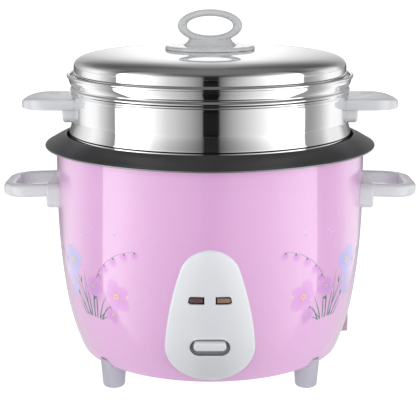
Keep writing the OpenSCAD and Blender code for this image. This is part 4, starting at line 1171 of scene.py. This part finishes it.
def flower_print(name, mirror):
    """Spray of blossoms, nodding bells, reeds and drifting petals."""
    art = Print()
    pale_rose, pale_lilac = mix(ROSE, PALE, 0.35), mix(LILAC, PALE, 0.35)

    # Stems that arch over, with a row of bells below each: (point of the spine, size, aim)
    arch = art.leaf((5, 62), 97, 84, 0.75, TEAL, MAUVE, bend=-92, rows=28)
    for at, size, aim in ((13, 6.5, -60), (17, 7.5, -84), (21, 8.0, -96), (25, 7.0, -104), (28, 6.0, -80)):
        art.bell(arch[at], size, ROSE, pale_rose, aim)
    back_arch = art.leaf((0, 62), 112, 66, 0.75, TEAL, MAUVE, bend=48, rows=22)
    for at, size, aim in ((14, 6.0, -100), (18, 6.5, -112), (22, 6.0, -128)):
        art.bell(back_arch[at], size, LILAC, pale_lilac, aim)

    # Reeds, then flowers on their stems, then loose petals
    for s, aim, length, bend in ((-5, 112, 21, 20), (-2, 101, 33, -12), (1, 95, 40, 10), (4, 88, 30, -14),
                                 (7, 80, 36, 13), (10, 71, 24, -16), (13, 63, 16, -12), (-8, 124, 14, 12)):
        art.leaf((s, 61), aim, length, 1.35, TEAL, MOSS, bend=bend, blunt=0.4, rows=12)
    for start, aim, length, bend, size, near, far, turn in (
            ((-1, 62), 108, 46, 16, 16.0, LILAC, pale_lilac, 14),
            ((-4, 62), 130, 31, 6, 12.5, mix(LILAC, ROSE, 0.35), pale_lilac, 50),
            ((10, 62), 40, 31, 12, 14.5, ROSE, pale_rose, 30),
            ((4, 62), 84, 26, 0, 10.5, mix(ROSE, LILAC, 0.4), pale_rose, 0),
            ((12, 62), 20, 16, 10, 8.5, mix(ROSE, LILAC, 0.25), pale_rose, 64)):
        stem = art.leaf(start, aim, length, 0.8, TEAL, TEAL, bend=bend, rows=12)
        art.leaf(stem[7], aim - 40, 6.5, 2.2, TEAL, MOSS, bend=24)
        art.blossom(stem[-1], size, near, far, turn=turn)
    for s, z, aim, size, tint in (
            (2, 128, 35, 4.5, ROSE), (12, 133, 160, 3.6, LILAC), (33, 132, 60, 4.2, LILAC),
            (-14, 131, 100, 3.6, YELLOW), (41, 84, 40, 3.6, YELLOW), (-34, 121, 20, 3.8, ROSE)):
        art.leaf((s, z), aim, size, size * 0.55, tint, PALE, bend=30)
    art.lay_on_shell(mirror)
    piece(name, art.bm, "cooker_body", mat_transfer, "pink_enamel")


flower_print("flower_print_left", 1)
flower_print("flower_print_right", -1)


# ---- Pieces kept as the frame has them ----
for material, nodes in (
        (mat_screw, "bottom_screws foot_screws handle_screws plate_screws knob_screw knob_washer pivot_pin "
                    "plate_posts plunger_rod"),
        (mat_base, "switch_lever lever_bracket thermostat_guide"), (mat_cast, "heating_plate"),
        (mat_ceramic, "element_terminals thermal_fuse"), (mat_cap, "thermostat_cap"),
        (mat_ferrite, "thermostat_magnet"), (mat_phenolic, "contact_block"),
        (mat_bronze, "contact_blades inlet_pins"), (mat_dark, "keep_warm_switch"),
        (mat_inlet_shade, "inlet_socket"), (mat_holder, "lamp_holder"), (mat_lamp, "neon_lamps")):
    for node in nodes.split():
        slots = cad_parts[node].data.materials
        slots.clear()
        slots.append(material)


def cap_spring():
    """Coil under the sensor cap, copied with a mesh of its own. The real coil shortens as the cap is pressed;
    this copy keeps the frame's shape.
    """
    coil = from_cad("cap_spring", "cooker_body", mat_spring, "spring_steel")
    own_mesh(coil)


cap_spring()


# ---- Stage, light and world ----
FLOOR_HALF = 14.0         # metres, like all sizes of the stage
FLOOR_GREY, CARD_GREY = 0.3, 0.01
CARD_LIFT = 0.0012


def glow_ramp(tree, value, low, high, stops):
    """Colour ramp over a value between low and high. Returns its colour, 1 at the peak, and the peak."""
    share = maths(tree, "DIVIDE", maths(tree, "SUBTRACT", value, low), high - low)
    ramp = add_node(tree, "ValToRGB", Fac=share)
    peak = max(level for _, level in stops)
    for _ in stops[2:]:
        ramp.color_ramp.elements.new(0.5)
    for element, (place, level) in zip(ramp.color_ramp.elements, stops):
        element.position = (place - low) / (high - low)
        element.color = (level / peak, level / peak, level / peak, 1)
    return ramp.outputs[0], peak


def bearing(tree, vector):
    """Degrees round Z from the front to the right."""
    place = parts_of(tree, vector)
    turn = maths(tree, "ARCTAN2", place["X"], times(tree, place["Y"], -1))
    return times(tree, turn, 180 / pi)


# Glow by bearing, and by the angle above the horizon
FRONT_GLOW = ((-91, 2.2), (-62, 2.0), (-46, 1.15), (-34, 0.76), (-13, 0.36), (-6, 0.2), (-5, 0.0),
              (6.5, 0.0), (8, 0.16), (17, 0.42), (34, 0.8), (44, 1.05), (60, 1.65), (91, 2.0))
LEFT_GLOW = ((79, 0.26), (86, 0.44), (91, 0.6), (98, 0.82), (102, 1.0), (109, 1.08), (119, 1.06), (125, 0.9),
             (130, 0.75), (133, 0.49), (143, 0.28), (155, 0.15))
RIGHT_GLOW = ((79, 0.34), (84, 0.32), (88, 0.36), (92.5, 0.43), (98, 0.55), (102.5, 0.72), (107.5, 0.9),
              (113, 1.06), (129, 1.03), (137, 0.85), (143, 0.45), (155, 0.15))
BACK_HALF = ((100, 0.55), (125, 0.5), (145, 0.25), (158, 0.06), (165, 0.12), (172, 0.25), (180, 0.3))
BACK_GLOW = tuple((-turn, level) for turn, level in BACK_HALF[::-1]) + BACK_HALF
SKY_AROUND = ((-176.5, 1.15), (-173.5, 0.82), (-169, 0.56), (-158, 0.4), (-140, 0.5), (-126, 0.85),
              (-109, 1.08), (-101, 0.9), (-91, 0.5), (-82.2, 0.27),
              (-81.6, 2.1), (-60, 2.0), (-46, 1.15), (-34, 0.76), (-13, 0.36), (-6, 0.2), (-5, 0.0),
              (6.5, 0.0), (8, 0.16), (34, 0.8), (60, 1.65), (81.6, 2.0),
              (82.2, 0.34), (91, 0.4), (101, 0.56), (111, 0.95), (130, 0.95), (141, 0.4), (158, 0.4),
              (169, 0.56), (174, 0.82), (177, 1.15))
SKY_FALL = ((-10, 1.0), (8, 0.97), (15, 0.9), (21, 0.68), (30, 0.35), (45, 0.19), (60, 0.1), (90, 0.1))
SKY_LEAST = ((-10, 0.016), (21, 0.02), (32, 0.05), (45, 0.12), (62, 0.17), (90, 0.18))
FRONT_EDGE = [(0.17, -0.12), (0.27, -0.085), (13, -1.98)]
FRONT_CORNERS = [(13, -13), (-13, -13)]
SIDE_CARD = ((0.215, -0.05), (0.27, -0.085), (6, -0.938), (6, 6), (1.34, 6), (0.33, 0.5))


def bright_to_camera(tree, level, socket):
    """Feeds a socket a glow that is at least 1 for what the camera sees directly, else the given level."""
    eye = add_node(tree, "LightPath").outputs["Is Camera Ray"]
    tree.links.new(maths(tree, "MAXIMUM", level, eye), socket)


def stage_sheet(name, bm, grey, stops, sign=1):
    """Matt sheet of the stage that glows by the bearing in mirrors and is white to the camera."""
    finish = Finish(name, (grey, grey, grey, 1), 0.9, Specular_IOR_Level=0.0, Emission_Color=(1, 1, 1, 1))
    turn = bearing(finish.tree, finish.coords)
    if sign < 0:
        turn = times(finish.tree, turn, sign)
    colour, peak = glow_ramp(finish.tree, turn, stops[0][0], stops[-1][0], stops)
    bright_to_camera(finish.tree, times(finish.tree, colour, peak),
                     finish.shader.inputs["Emission Strength"])
    add_mesh(name, bm, finish.material)


def glow_card(name, outline, stops, sign=1):
    """Thin sheet on the floor."""
    bm = bmesh.new()
    bm.faces.new([bm.verts.new((x, y, CARD_LIFT)) for x, y in outline])
    stage_sheet(name, bm, CARD_GREY, stops, sign)


def build_stage():
    bm = bmesh.new()
    bmesh.ops.create_grid(bm, x_segments=4, y_segments=4, size=FLOOR_HALF)
    stage_sheet("studio_floor", bm, FLOOR_GREY, BACK_GLOW)
    left_edge = [(-x, y) for x, y in FRONT_EDGE[::-1]]
    glow_card("front_card", left_edge + FRONT_EDGE + FRONT_CORNERS, FRONT_GLOW)
    glow_card("side_card_left", [(-x, y) for x, y in SIDE_CARD], LEFT_GLOW, -1)
    glow_card("side_card_right", SIDE_CARD, RIGHT_GLOW)


def area_light(name, place, aim, width, height, power):
    """Soft light that mirrors don't show."""
    data = bpy.data.lights.new(name, "AREA")
    data.shape = "RECTANGLE"
    data.size = width
    data.size_y = height
    data.energy = power
    light = bpy.data.objects.new(name, data)
    light.location = place
    light.rotation_euler = (Vector(aim) - Vector(place)).to_track_quat("-Z", "Y").to_euler()
    light.visible_glossy = False
    bpy.context.collection.objects.link(light)


def studio_world():
    """Soft boxes all round, brightest low down, with a gap in front. Dim overhead, white to the camera."""
    world = bpy.data.worlds.new("studio_world")
    bpy.context.scene.world = world
    world.use_nodes = True
    tree = world.node_tree
    sight = add_node(tree, "TexCoord").outputs["Generated"]
    rise = times(tree, maths(tree, "ARCSINE", parts_of(tree, sight)["Z"], 0), 180 / pi)
    around, peak = glow_ramp(tree, bearing(tree, sight), -180, 180, SKY_AROUND)
    fall, _ = glow_ramp(tree, rise, -10, 90, SKY_FALL)
    least, least_peak = glow_ramp(tree, rise, -10, 90, SKY_LEAST)
    boxes = times(tree, times(tree, around, fall), peak)
    glow = maths(tree, "MAXIMUM", boxes, times(tree, least, least_peak))
    bright_to_camera(tree, glow, tree.nodes["Background"].inputs["Strength"])
    tree.nodes["Background"].inputs["Color"].default_value = (1, 1, 1, 1)


build_stage()
studio_world()
# Place and aim in metres, width, height, watts
area_light("front_fill", (0, -2.6, 0.95), (0, 0, 0.12), 2.4, 1.6, 25)
area_light("low_fill", (0, -1.7, 0.3), (0, 0, 0.05), 1.6, 0.4, 3)
area_light("top_fill", (0, -0.3, 2.4), (0, 0, 0.1), 2.6, 2.6, 19)
area_light("back_fill", (0, 2.6, 0.95), (0, 0, 0.12), 2.4, 1.6, 16)
area_light("right_fill", (2.5, -0.3, 0.6), (0, 0, 0.12), 1.2, 1.2, 6)

view = bpy.context.scene.view_settings
view.view_transform = "Standard"
view.look = "None"
